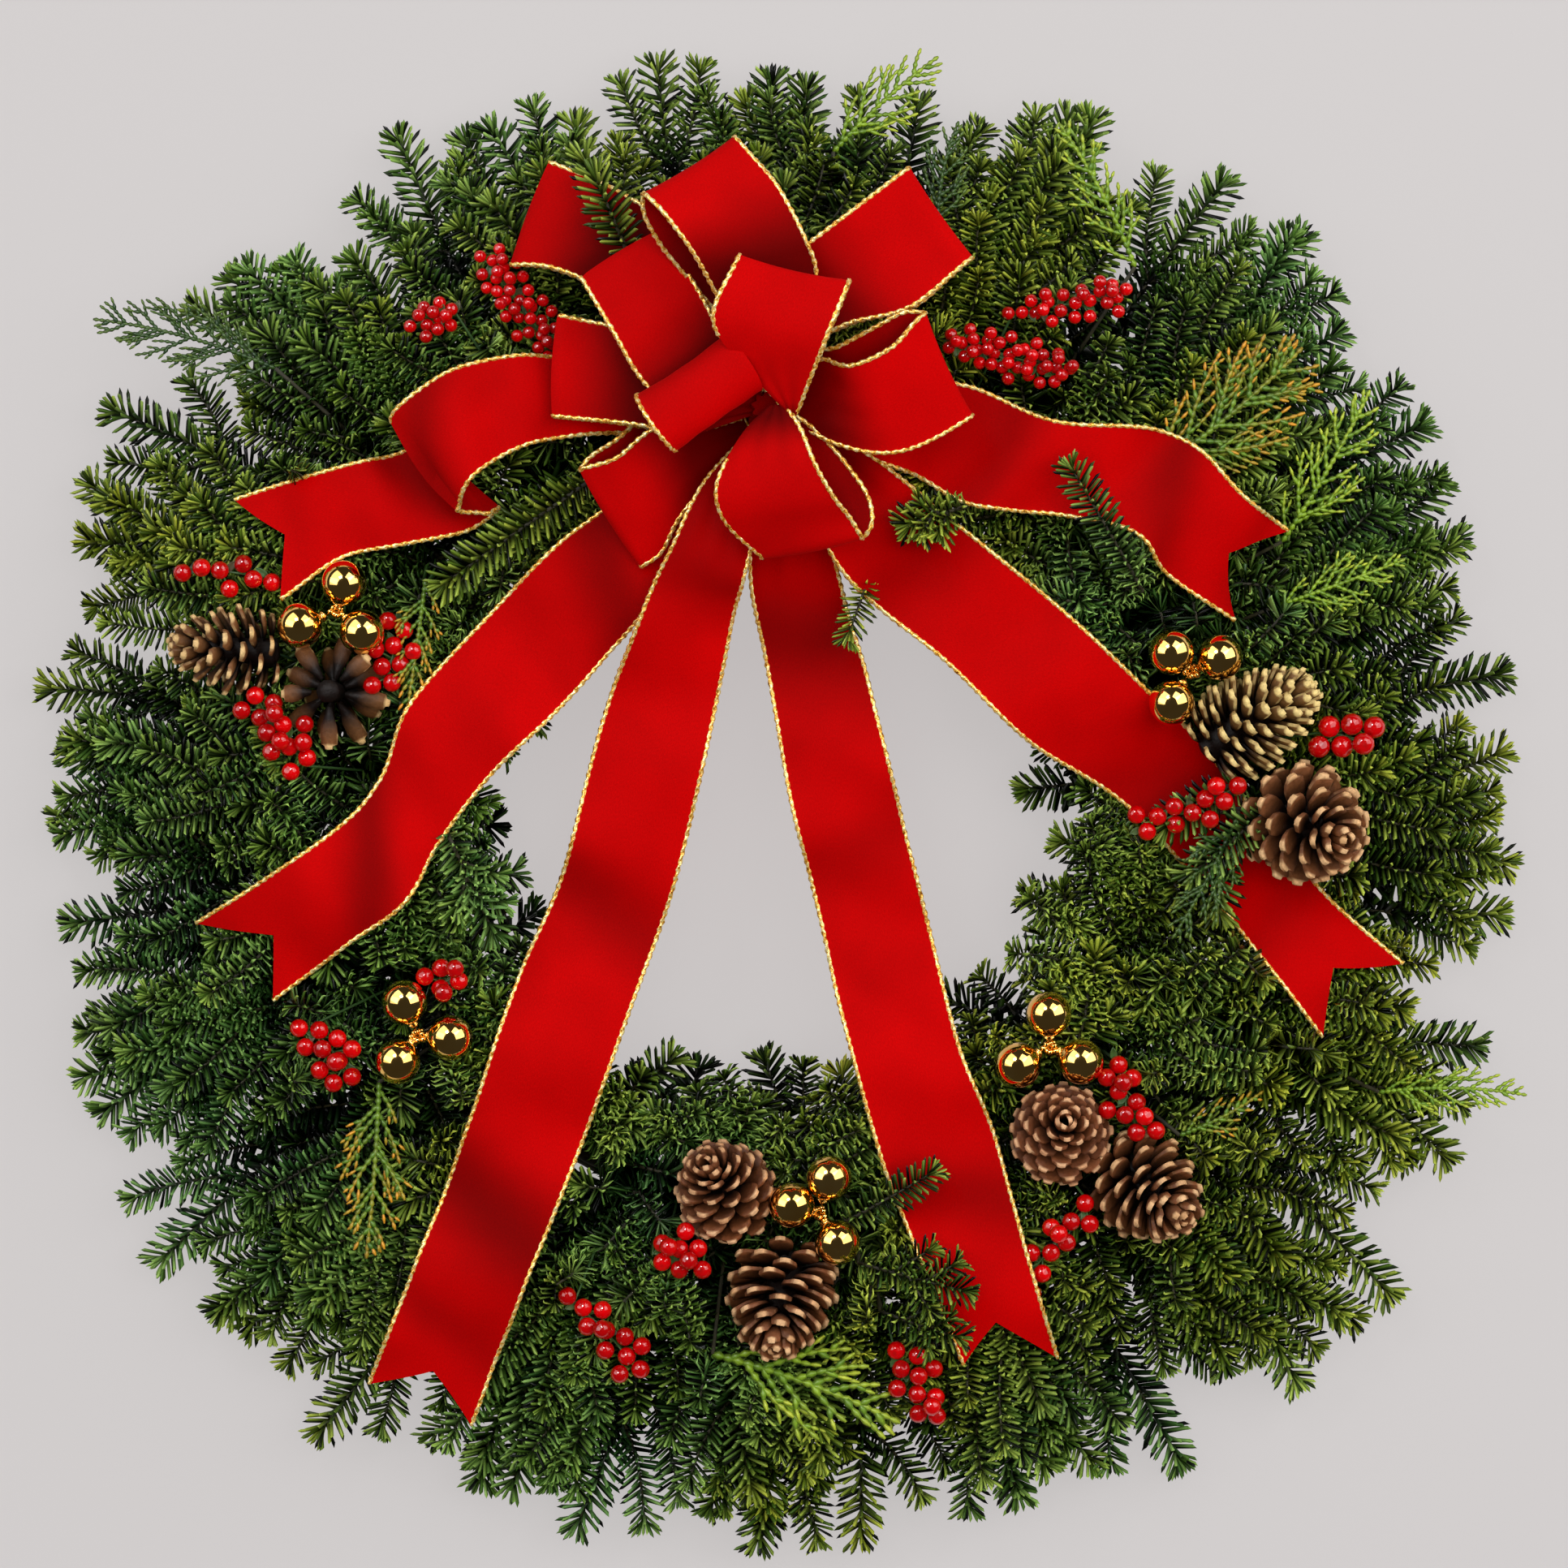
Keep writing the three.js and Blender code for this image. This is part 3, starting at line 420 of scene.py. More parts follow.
def wireMaterial():
    material, tree, shader = newMaterial("greenWire")
    chips = noiseIn(tree, 120.0, detail=3.0)
    green = rampIn(tree, chips, [(0.35, (0.010, 0.032, 0.012)), (0.7, (0.022, 0.065, 0.024))])
    dress(tree, shader, green, rampIn(tree, chips, [(0.3, 0.3), (0.7, 0.5)]))
    return material


cedarTints = {  # the dark and the light of a kind, and its tips
    "dark": ((0.016, 0.052, 0.010), (0.060, 0.130, 0.018), (0.15, 0.24, 0.03)),
    "light": ((0.130, 0.270, 0.014), (0.330, 0.520, 0.024), (0.64, 0.74, 0.05)),
    "orange": ((0.085, 0.200, 0.014), (0.200, 0.360, 0.024), (1.0, 0.42, 0.02)),
}


def cedarMaterial(kind):
    material, tree, shader = newMaterial("cedarScales" + kind.capitalize())
    low, high, end = cedarTints[kind]
    leaf = rampIn(tree, attributeIn(tree, "tone"), [(0.0, low), (1.0, high)])
    leaf = mixIn(tree, "MIX", mathIn(tree, "MULTIPLY", attributeIn(tree, "tip"), 0.95), leaf, end)
    leaf = tinted(tree, leaf, noiseIn(tree, 300.0), [(0.3, 0.65), (0.7, 1.2)], 0.5)
    dress(tree, shader, leaf, 0.48)
    return material


firNeedles = firMaterial()
twigBark = barkMaterial()
velvet = velvetMaterial()
goldThread = goldThreadMaterial()
pickWire = wireMaterial()

# the bunches' gathered stems, which lie in a ring just over the frame's wire
bunch = {"count": 16, "stemRing": 240, "stemRadius": 10, "endGap": 6, "wire": 4, "gap": 0.3}
stemMiddle = bunch["wire"] + bunch["gap"] + bunch["stemRadius"] * math.cos(math.pi / 6)

ceilings = []  # points that the foliage stays under


def takeCeiling(thing):  # in millimetres round the ring again
    points = np.empty(len(thing.data.vertices) * 3)
    thing.data.vertices.foreach_get("co", points)
    ceilings.append((points.reshape(-1, 3) - np.array(ringCentre)) * 1000)


def seatFor(place):  # where a pick's wire is tied to the stems, straight in along its radius
    degrees = math.degrees(math.atan2(place[1], place[0]))
    return polar(bunch["stemRing"], degrees, stemMiddle + bunch["stemRadius"])


def pickPath(place, end, rise, count=12):  # a wire from the seat under a place
    seat = seatFor(place)
    return curvePoints((seat, (seat + end) / 2 + (0, 0, rise), end), count)


# the ribbon is velvet with a wired gold edge, gathered at the knot
ribbon = {
    "width": 63.5, "thick": 0.9, "columns": 15, "rowStep": 3.2, "samples": 500, "neckHalf": 4.56,
    "pleats": 3, "pleatDepth": 2.6, "pleatReach": 62, "pleatSlope": 1.41, "sway": 0.6, "swayLength": 15,
    "slack": 90, "curl": 1.6, "ripple": 0.35, "rippleLength": 0.43, "loopWave": (1.2, 75), "cutRun": 26,
    "rootShade": 0.25, "shadeFrom": 30, "shadeOver": 60, "dipDepth": 6, "loopShade": 0.05, "underShade": 0.6,
    "loopCrease": 0.2, "angle": 50,
}
goldEdge = {"radius": 1.35, "pitch": 11.0, "step": 1.1, "sides": 6, "strands": 0.26, "rough": 0.10}
knot = {"at": (-6, 232), "radius": 14.4, "low": 116, "high": 184}

# each tail by its two edges, out from the knot, and the inner corner of its cut end; a dip is
# a shaded hollow across it: distance from the knot, half width, slant and depth of shade
tails = {
    "upper_left": {
        "neck": 134, "notch": (-293, 165, 107), "wave": (3, 90),
        "dips": [(205, 16, 0.5, 0.55), (250, 22, -0.4, 0.5)],
        "a": [(-62, 256, 130), (-122, 264, 126), (-161, 264, 142), (-196, 254, 146),
              (-218, 239, 140), (-226, 229, 131), (-215, 219, 124), (-207, 214, 117), (-220, 211, 111),
              (-247, 204, 113), (-286, 193, 115), (-322, 182, 105)],
        "b": [(-58, 222, 130), (-103, 220, 126), (-144, 214, 142), (-175, 197, 146),
              (-186, 182, 140), (-188, 176, 131), (-179, 174, 124), (-170, 172, 117), (-182, 164, 111),
              (-223, 155, 113), (-257, 148, 115), (-294, 123, 105)],
    },
    "lower_left": {
        "neck": 122, "notch": (-302, -72, 106), "wave": (5, 130),
        "dips": [(120, 26, 0.3, 0.6), (345, 24, 0.9, 0.62)],
        "a": [(-62, 202, 120), (-121, 162, 118), (-171, 112, 118), (-219, 57, 114),
              (-234, 16, 120), (-260, -13, 124), (-301, -42, 114), (-347, -71, 102)],
        "b": [(-40, 160, 120), (-85, 107, 117), (-128, 59, 116), (-172, 16, 113),
              (-200, -22, 119), (-219, -56, 124), (-258, -85, 115), (-300, -116, 102)],
    },
    "middle_left": {
        "neck": 134, "notch": (-206, -334, 107), "wave": (5, 150),
        "dips": [(90, 26, 0.0, 0.45), (305, 24, 0.6, 0.5), (498, 32, 0.7, 0.75), (572, 16, 0.5, 0.4)],
        "a": [(-42, 190, 154), (-62, 152, 150), (-76, 122, 136), (-104, 45, 116),
              (-128, -44, 110), (-152, -99, 110), (-183, -190, 116), (-214, -272, 118), (-243, -345, 104)],
        "b": [(-10, 176, 150), (-18, 137, 146), (-24, 117, 134), (-37, 55, 116),
              (-62, -50, 110), (-84, -112, 110), (-114, -195, 116), (-147, -279, 118), (-182, -369, 104)],
    },
    "middle_right": {
        "neck": 123, "notch": (125, -306, 107), "wave": (5, 160),
        "dips": [(120, 44, 0.2, 0.72), (250, 22, -0.5, 0.3), (462, 22, 0.3, 0.5)],
        "a": [(-12, 180, 122), (-16, 141, 121), (-3, 69, 116), (9, 2, 110),
              (26, -66, 108), (40, -128, 110), (64, -214, 116), (83, -263, 116), (111, -331, 103)],
        "b": [(24, 186, 122), (34, 146, 121), (54, 74, 116), (72, 2, 110),
              (91, -75, 108), (108, -143, 110), (129, -195, 116), (146, -258, 116), (167, -329, 103)],
    },
    "lower_right": {
        "neck": 134, "notch": (336, -94, 83), "wave": (4, 140),
        "dips": [(110, 26, 0.2, 0.45), (318, 26, -0.6, 0.5), (420, 18, 0.4, 0.35)],
        "a": [(54, 207, 131), (102, 169, 128), (165, 119, 123), (218, 70, 114),
              (252, 38, 94), (288, -6, 74), (328, -53, 82), (374, -94, 82)],
        "b": [(18, 178, 131), (42, 135, 128), (100, 86, 123), (153, 36, 114),
              (205, 4, 94), (246, -38, 74), (276, -72, 82), (326, -138, 82)],
    },
    "upper_right": {
        "neck": 124, "notch": (270, 156, 107), "wave": (5, 110),
        "dips": [(110, 30, 0.3, 0.4), (232, 24, 0.6, 0.55), (300, 14, 0, 0.25)],
        "a": [(58, 250, 123), (112, 248, 124), (164, 227, 125), (222, 222, 129),
              (250, 210, 128), (275, 184, 118), (305, 163, 104)],
        "b": [(47, 208, 123), (80, 197, 122), (117, 178, 123), (169, 172, 127),
              (212, 162, 124), (232, 137, 116), (274, 110, 104)],
    },
}

# each loop by the two edges of its upper side, out from the knot to its fold; it turns there
# and comes back beneath, puffed out and open to one side; dark is where the painted shade of
# the others ends along it, bare the share of each edge, near the knot, that has no gold thread
loops = {
    "far_left": {"puff": 18, "open": 0, "dark": (95, 150),
        "a": [(-25, 265, 132), (-60, 336, 140), (-95, 363, 138), (-134, 380, 128)],
        "b": [(-37, 250, 130), (-80, 290, 138), (-115, 311, 140), (-137, 319, 134), (-156, 320, 124)]},
    "left": {"puff": 14, "open": 0, "dark": (60, 115),
        "a": [(-15, 242, 146), (-74, 275, 152), (-128, 288, 150)],
        "b": [(-20, 228, 146), (-51, 220, 150), (-89, 225, 154), (-130, 229, 148)]},
    "lower_left": {"puff": 26, "open": -13, "dark": (38, 80),
        "a": [(-15, 231, 140), (-51, 229, 150), (-73, 220, 156), (-93, 203, 160), (-114, 197, 156)],
        "b": [(-15, 217, 134), (-42, 188, 140), (-57, 169, 140), (-68, 149, 134), (-79, 142, 130)]},
    "right": {"puff": 30, "open": -17, "dark": (14, 60),
        "a": [(9, 235, 176), (25, 259, 188), (41, 255, 198), (65, 265, 198), (84, 285, 190)],
        "b": [(13, 223, 172), (30, 213, 178), (58, 206, 180), (82, 210, 174), (111, 227, 162)]},
    "top_right": {"puff": 18, "open": 0, "dark": (60, 125),
        "a": [(-15, 240, 146), (-10, 291, 156), (7, 318, 160), (39, 344, 160), (75, 372, 154)],
        "b": [(4, 237, 146), (21, 270, 152), (40, 282, 158), (76, 291, 160), (111, 319, 152)]},
    "left_front": {"puff": 16, "open": 0, "dark": (36, 84),
        "a": [(-8, 248, 168), (-29, 271, 176), (-48, 304, 180), (-69, 335, 174)],
        "b": [(-15, 231, 166), (-46, 224, 172), (-76, 246, 180), (-95, 277, 180), (-114, 309, 170)]},
    "top": {"puff": 30, "open": -12, "dark": (70, 120),
        "a": [(-10, 247, 180), (-36, 299, 196), (-47, 318, 206), (-61, 336, 210), (-75, 352, 206)],
        "b": [(4, 249, 178), (23, 307, 192), (16, 329, 198), (-2, 361, 192), (-23, 387, 182)]},
    "bottom": {"puff": 36, "open": 22, "bare": (0.15, 0.03), "dark": (4, 30),
        "a": [(-4, 232, 192), (-16, 221, 190), (-28, 203, 188), (-35, 184, 186), (-30, 165, 178),
              (-9, 144, 162)],
        "b": [(4, 233, 194), (13, 220, 200), (22, 198, 204), (33, 178, 200), (49, 156, 186)]},
    "front": {"puff": 26, "open": 0, "bare": (0.25, 0.02), "dark": (0, 12),
        "a": [(7, 227, 194), (-14, 249, 202), (-32, 270, 212), (-36, 283, 218), (-22, 315, 220)],
        "b": [(11, 226, 194), (20, 248, 212), (30, 273, 224), (41, 300, 222)]},
}
middleLoop = {  # the small upright loop that covers the knot
    "at": (-44.4, 239.7, 196), "heading": 34.8, "across": 18.5, "high": 15, "width": 61, "flare": 3,
    "turns": (-35, 0, 30, 60, 90, 120, 150, 180, 215, 260), "rootZ": 176.0, "rootHalf": 5, "rootThick": 6,
    "fold": 0.78, "dark": (20, 46), "crease": 0.3, "bare": (0.16, 0.6),
}
# a loop's way back beneath, from its fold: how far back, its drop, its push outwards and its width
loopReturn = [(0, 0.16, 2, 1), (0.08, 0.42, 1, 1), (0.25, 0.8, 0, 1), (0.5, 1, 0, 0.98),
              (0.75, 0.8, 0, 0.9), (1, 0.4, 0, 0.8)]
loopStations = 13


def splineThrough(points, count):  # a smooth curve through every point, densely sampled
    points = np.asarray(points, float)
    steps = np.sqrt(np.linalg.norm(np.diff(points, axis=0), axis=1))
    knots = np.concatenate([[0], np.cumsum(steps)])
    slopes = np.diff(points, axis=0) / steps[:, None]
    tangents = np.concatenate([slopes[:1], (slopes[1:] * steps[:-1, None] + slopes[:-1] * steps[1:, None])
                               / (steps[1:] + steps[:-1])[:, None], slopes[-1:]])
    at = np.linspace(0, knots[-1], count)
    i = np.clip(np.searchsorted(knots, at, side="right") - 1, 0, len(steps) - 1)
    h = steps[i][:, None]
    t = ((at - knots[i]) / steps[i])[:, None]
    return (points[i] * (2 * t ** 3 - 3 * t ** 2 + 1) + tangents[i] * h * (t ** 3 - 2 * t ** 2 + t)
            + points[i + 1] * (3 * t ** 2 - 2 * t ** 3) + tangents[i + 1] * h * (t ** 3 - t ** 2))


def sampleRows(rows, reach, at):  # rows of points read at distances along them
    return np.stack([np.interp(at, reach, rows[:, k]) for k in range(rows.shape[1])], -1)


def evenRows(edges):  # both edges of a ribbon, read at even steps along its middle
    dense = splineThrough(edges, ribbon["samples"])
    middle = (dense[:, :3] + dense[:, 3:]) / 2
    reach = distancesAlong(middle)
    even = np.linspace(0, reach[-1], int(reach[-1] / ribbon["rowStep"]))
    pair = sampleRows(dense, reach, even)
    return middle, reach, even, pair[:, :3], pair[:, 3:]


def pleated(a, b, distance, wave, seed, crease=1.0):  # both edges and all between, with folds and waves
    s = np.linspace(0, 1, ribbon["columns"])[None]
    distance = distance[:, None]
    across = b - a
    width = np.linalg.norm(across, axis=-1)[..., None]
    normal = unit(np.cross(unit(np.gradient((a + b) / 2, axis=0)), unit(across)))
    spare = np.clip((ribbon["width"] / np.maximum(width, 1)) ** 2 - 1, 0, None) ** 0.5
    depth = width * spare / (math.pi * ribbon["pleats"] * ribbon["pleatSlope"])
    depth = crease * np.minimum(depth, ribbon["pleatDepth"]) * np.exp(-(distance / ribbon["pleatReach"]) ** 2)
    sway = ribbon["sway"] * np.sin(distance / ribbon["swayLength"])
    folds = depth * np.cos(fullTurn * ribbon["pleats"] * s + sway + seed)
    height, length = wave
    free = smooth(distance / ribbon["slack"])
    swell = height * np.sin(fullTurn * distance / length + seed + 1.1 * s) * free
    ripple = np.sin(fullTurn * distance / (length * ribbon["rippleLength"]) + 2.2 * seed - 2.3 * s)
    swell = swell + ribbon["ripple"] * height * ripple * free
    curl = ribbon["curl"] * (2 * s - 1) ** 2 * free
    between = a[:, None] + across[:, None] * s[..., None]
    return between + normal[:, None] * (folds + swell - curl)[..., None]


def tailPoints(spec, seed):
    a, b = np.array(spec["a"], float), np.array(spec["b"], float)
    neck = np.array([*knot["at"], spec["neck"]], float)
    root = neck + unit(((a[0] + b[0]) / 2 - neck) * (1, 1, 0)) * knot["radius"]
    across = unit(b[0] - a[0]) * ribbon["neckHalf"]
    edges = np.concatenate([np.vstack([root - across, a]), np.vstack([root + across, b])], 1)
    middle, reach, even, first, second = evenRows(edges)
    length = reach[-1]
    notchAt = reach[np.argmin(np.linalg.norm(middle - np.array(spec["notch"]), axis=1))]
    surface = pleated(first, second, even, spec["wave"], seed)
    plain = notchAt - ribbon["cutRun"]  # from here on the rows bend into the cut end
    columns = range(ribbon["columns"])
    s = np.linspace(0, 1, ribbon["columns"])[None]
    columnEnd = notchAt + (length - notchAt) * np.abs(2 * s - 1)
    at = even[:, None] + 0 * s
    at = np.where(at > plain, plain + (at - plain) * (columnEnd - plain) / (length - plain), at)
    cut = np.stack([sampleRows(surface[:, column], even, at[:, column]) for column in columns], 1)
    area = (length - (length - notchAt) / 2) * ribbon["width"]
    lit = smooth((at - ribbon["shadeFrom"]) / ribbon["shadeOver"])
    shade = ribbon["rootShade"] + (1 - ribbon["rootShade"]) * lit
    normal = unit(np.cross(np.gradient(cut, axis=0), np.gradient(cut, axis=1)))
    for distance, half, slant, dark in spec["dips"]:
        hollow = np.exp(-((at - distance - slant * (s - 0.5) * ribbon["width"]) / half) ** 2)
        cut = cut - normal * (ribbon["dipDepth"] * dark * hollow)[..., None] * np.sign(normal[..., 2:])
        shade = shade * (1 - dark * hollow)
    return cut, at, length, area, shade


def stripPoints(rows, seed, foldShare, dark, crease):  # a ribbon with both ends at the knot
    _, reach, even, first, second = evenRows(rows)
    length = reach[-1]
    fromKnot = np.minimum(even, length - even)
    surface = pleated(first, second, fromKnot, ribbon["loopWave"], seed, crease)
    beneath = smooth((even - length * foldShare - 2) / 8)
    lit = smooth((fromKnot - dark[0]) / (dark[1] - dark[0]))
    shade = (ribbon["loopShade"] + (1 - ribbon["loopShade"]) * lit) * (1 - ribbon["underShade"] * beneath)
    flat = np.zeros((1, ribbon["columns"]))
    return surface, even[:, None] + flat, length, None, shade[:, None] + flat


def loopPoints(spec, seed):
    upper = np.concatenate([splineThrough(spec[edge], loopStations) for edge in ("a", "b")], 1)
    across = unit(upper[-1, 3:] - upper[-1, :3])
    outward = unit((upper[-1] - upper[-3]).reshape(2, 3).mean(0))
    lower = []
    for share, drop, out, width in loopReturn:
        row = upper[int(round((loopStations - 1) * (1 - share)))].reshape(2, 3)
        middle = row.mean(0) - (0, 0, spec["puff"] * drop) + outward * out
        middle = middle + across * spec["open"] * math.sin(math.pi * share ** 0.65)
        lower.append((middle + (row - row.mean(0)) * width).ravel())
    return stripPoints(np.vstack([upper, lower]), seed, 0.5, spec["dark"], ribbon["loopCrease"])


def middleLoopPoints(spec, seed):
    axis = polar(1, spec["heading"], 0)
    side = polar(1, spec["heading"] - 90, 0)
    at, up = np.array(spec["at"], float), np.array((0, 0, 1.0))
    root, half = np.array([*knot["at"], spec["rootZ"]]), axis * spec["rootHalf"]
    rows = [np.concatenate([root - half, root + half])]
    for degrees in spec["turns"]:
        turn = math.radians(degrees)
        middle = at + side * spec["across"] * math.cos(turn) + up * spec["high"] * math.sin(turn)
        reach = axis * (spec["width"] / 2 + spec["flare"] * math.sin(turn))
        rows.append(np.concatenate([middle - reach, middle + reach]))
    root = root - (0, 0, spec["rootThick"])
    rows.append(np.concatenate([root - half, root + half]))
    return stripPoints(np.array(rows), seed, spec["fold"], spec["dark"], spec["crease"])


def ribbonSheet(name, points, at, shade):  # a grid laid out flat, then carried onto its shape
    rows, columns = points.shape[:2]
    clearSelection()
    bpy.ops.mesh.primitive_grid_add(x_subdivisions=columns - 1, y_subdivisions=rows - 1, size=1)
    sheet = bpy.context.object
    flat = np.empty(len(sheet.data.vertices) * 3)
    sheet.data.vertices.foreach_get("co", flat)
    flat = flat.reshape(-1, 3)
    column = np.rint((flat[:, 0] + 0.5) * (columns - 1)).astype(int)
    row = np.rint((flat[:, 1] + 0.5) * (rows - 1)).astype(int)
    sheet.data.vertices.foreach_set("co", points[row, column].ravel())
    corner = np.empty(len(sheet.data.loops), int)
    sheet.data.loops.foreach_get("vertex_index", corner)
    cloth = np.stack([column / (columns - 1) * ribbon["width"], at[row, column]], 1) * 0.001
    sheet.data.uv_layers.active.data.foreach_set("uv", cloth[corner].ravel())
    darkness = sheet.data.attributes.new("shade", "FLOAT", "POINT")
    darkness.data.foreach_set("value", shade[row, column])
    sheet.data.update()
    sheet.name = name
    wall = sheet.modifiers.new("wall", "SOLIDIFY")
    wall.thickness = ribbon["thick"]
    wall.offset = 0
    applyModifiers(sheet)
    bpy.ops.object.shade_smooth_by_angle(angle=math.radians(ribbon["angle"]))
    sheet.data.materials.append(velvet)
    return sheet


def ropeAlong(heap, edge, normal):  # a thread wound round the wire in the ribbon's edge
    reach = distancesAlong(edge)
    at = np.linspace(0, reach[-1], max(8, int(reach[-1] / goldEdge["step"])))
    angle = np.arange(goldEdge["sides"])[None] * fullTurn / goldEdge["sides"]
    winding = fullTurn * at[:, None] / goldEdge["pitch"]
    radius = goldEdge["radius"] * (1 + goldEdge["strands"] * np.cos(2 * (angle - winding)))
    radius = radius * (1 + goldEdge["rough"] * np.sin(at[:, None] * 1.7) * np.sin(at[:, None] * 0.37 + 1))
    heap.addTube(sampleRows(edge, reach, at), radius, goldEdge["sides"], up=sampleRows(normal, reach, at))


def makeRibbon(name, node, shape, bare=(0, 0)):
    points, at, length, area, shade = shape
    sheet = ribbonSheet(name, points, at, shade)
    heap = Heap()
    across = np.gradient(points, axis=1)
    along = np.gradient(points, axis=0)
    normal = unit(np.cross(along, across))
    for column, first in ((0, int(len(points) * bare[0])), (-1, int(len(points) * bare[1]))):
        ropeAlong(heap, points[first:, column], normal[first:, column])
    edge = settle(heap.build(name + "Edge", [goldThread]), name + "Edge")
    settle(sheet, name, [node])
    ceilings.append(points.reshape(-1, 3))


def makeBow():
    for seed, (key, spec) in enumerate(tails.items()):
        makeRibbon(pieceName("tail", key), f"tail_{key}", tailPoints(spec, seed * 1.7))
    print("tails made")
    for seed, (key, spec) in enumerate(loops.items()):
        bare = spec.get("bare", (0, 0))
        makeRibbon(pieceName("loop", key), "bow_loops", loopPoints(spec, seed * 2.3), bare)
    centre = middleLoopPoints(middleLoop, 1.0)
    makeRibbon("loopCentre", "bow_loops", centre, middleLoop["bare"])
    print("bow loops made")


makeBow()


# the gathered middle of the bow and the wire that ties it to the frame
knotShape = {
    "sides": 54, "pleats": 9, "depth": 0.14, "waist": 13.0, "strand": 0.6, "twist": 7.0, "apart": 0.8,
    "foot": 2.0, "bands": (24, 27, 30), "shade": 0.1, "narrow": 0.42, "swell": 0.50, "slant": 5,
}


def makeKnot():
    clearSelection()
    low, high = knot["low"], knot["high"]
    centreX, centreY = knot["at"]
    middle = (centreX, centreY, (low + high) / 2)
    bpy.ops.mesh.primitive_cylinder_add(vertices=knotShape["sides"], radius=knotShape["waist"],
                                        depth=high - low, end_fill_type="TRIFAN", location=middle)
    bpy.ops.object.transform_apply(location=True, rotation=False, scale=False)
    core = bpy.context.object
    startEdit("EDGE")
    bpy.ops.mesh.bisect(plane_co=(0, 0, (low + high) / 2), plane_no=(0, 0, 1))
    bpy.ops.mesh.select_all(action="SELECT")
    bpy.ops.mesh.subdivide(number_cuts=2)
    endEdit()
    for point in core.data.vertices:
        x, y = point.co.x - centreX, point.co.y - centreY
        t = (point.co.z - low) / (high - low)
        belly = math.sin(math.pi * min(1, 0.12 + t * 0.80)) ** 0.8  # so that both ends are narrow
        shrink = knotShape["narrow"] + knotShape["swell"] * belly
        turnAt = knotShape["pleats"] * math.atan2(y, x) + knotShape["slant"] * t
        pinch = 1 + knotShape["depth"] * math.cos(turnAt)
        point.co.x = centreX + x * shrink * pinch
        point.co.y = centreY + y * shrink * pinch
    bpy.ops.object.shade_smooth_by_angle(angle=math.radians(60))
    darkness = core.data.attributes.new("shade", "FLOAT", "POINT")
    darkness.data.foreach_set("value", np.full(len(core.data.vertices), knotShape["shade"]))
    core.data.materials.append(velvet)
    settle(core, "bowKnot", ["bow_tie"])
    heap = Heap()
    rise = np.linspace(knotShape["foot"], low + 6, 90)
    for hand in (0, math.pi):
        turnAt = rise / knotShape["twist"] * fullTurn + hand
        path = np.stack([centreX + knotShape["apart"] * np.cos(turnAt),
                         centreY + knotShape["apart"] * np.sin(turnAt), rise], 1)
        heap.addTube(path, knotShape["strand"], 6, up=(0, 1, 0))
    angle = np.linspace(0, fullTurn, 60)
    radius = knotShape["waist"] * 1.02
    for band in knotShape["bands"]:
        path = np.stack([centreX + radius * np.cos(angle), centreY + radius * np.sin(angle),
                         low + band + 1.2 * np.sin(angle)], 1)
        heap.addTube(path, knotShape["strand"], 6)
    settle(heap.build("tie", [goldThread]), "bowTieWire")
    print("knot made")


makeKnot()
wireMaterials = bpy.data.objects["wire_ring"].data.materials
wireMaterials.clear()
wireMaterials.append(pickWire)

# pine cones are woody scales wound up a spindle; tan is how pale and worn one is
cones = {
    "left_outer": {"at": (-323, 93, 104), "heading": 176, "tilt": 18, "length": 62, "width": 54,
                   "open": 0.8, "tan": 0.55, "count": 52},
    "left_inner": {"at": (-262, 68, 104), "heading": 0, "tilt": -80, "length": 44, "width": 68,
                   "open": 1.25, "tan": 0.5, "count": 20, "breadth": 0.26, "core": 0.6},
    "right_upper": {"at": (281, 50, 106), "heading": 32, "tilt": 16, "length": 74, "width": 62,
                    "open": 0.62, "tan": 1.0, "count": 96, "breadth": 0.27},
    "right_lower": {"at": (315, -11, 110), "heading": -25, "tilt": 58, "length": 60, "width": 72,
                    "open": 1.1, "tan": 0.25, "count": 60, "breadth": 0.33},
    "bottom_upper": {"at": (-31, -228, 102), "heading": 120, "tilt": 52, "length": 54, "width": 60,
                     "open": 1.0, "tan": 0.1},
    "bottom_lower": {"at": (3, -291, 100), "heading": 262, "tilt": 40, "length": 62, "width": 66,
                     "open": 0.95, "tan": 0.15},
    "lower_right_inner": {"at": (169, -194, 104), "heading": 80, "tilt": 74, "length": 50, "width": 60,
                          "open": 1.0, "tan": 0.05},
    "lower_right_outer": {"at": (220, -227, 98), "heading": -38, "tilt": 44, "length": 58, "width": 64,
                          "open": 1.15, "tan": 0.2},
}
coneScale = {
    "count": 66, "width": 0.30, "lip": 0.12, "root": 0.04, "cup": 0.05, "golden": math.radians(137.508),
    "breadth": 0.37, "thick": 0.40, "core": 0.15, "wire": 0.75,
}
# from a cone's base to its tip: how far its scales lean from the axis in degrees, how far out
# they reach, how broad they are, and the spindle's radius
coneLean = ([0, 0.12, 0.5, 0.85, 1], [108, 92, 72, 44, 14])
coneReach = ([0, 0.12, 0.35, 0.7, 1], [0.72, 0.96, 1.0, 0.72, 0.30])
coneBroad = ([0, 0.5, 1], [1.0, 1.0, 0.6])
coneSpindle = ([0, 0.05, 0.7, 1], [0.05, 0.17, 0.13, 0.04])


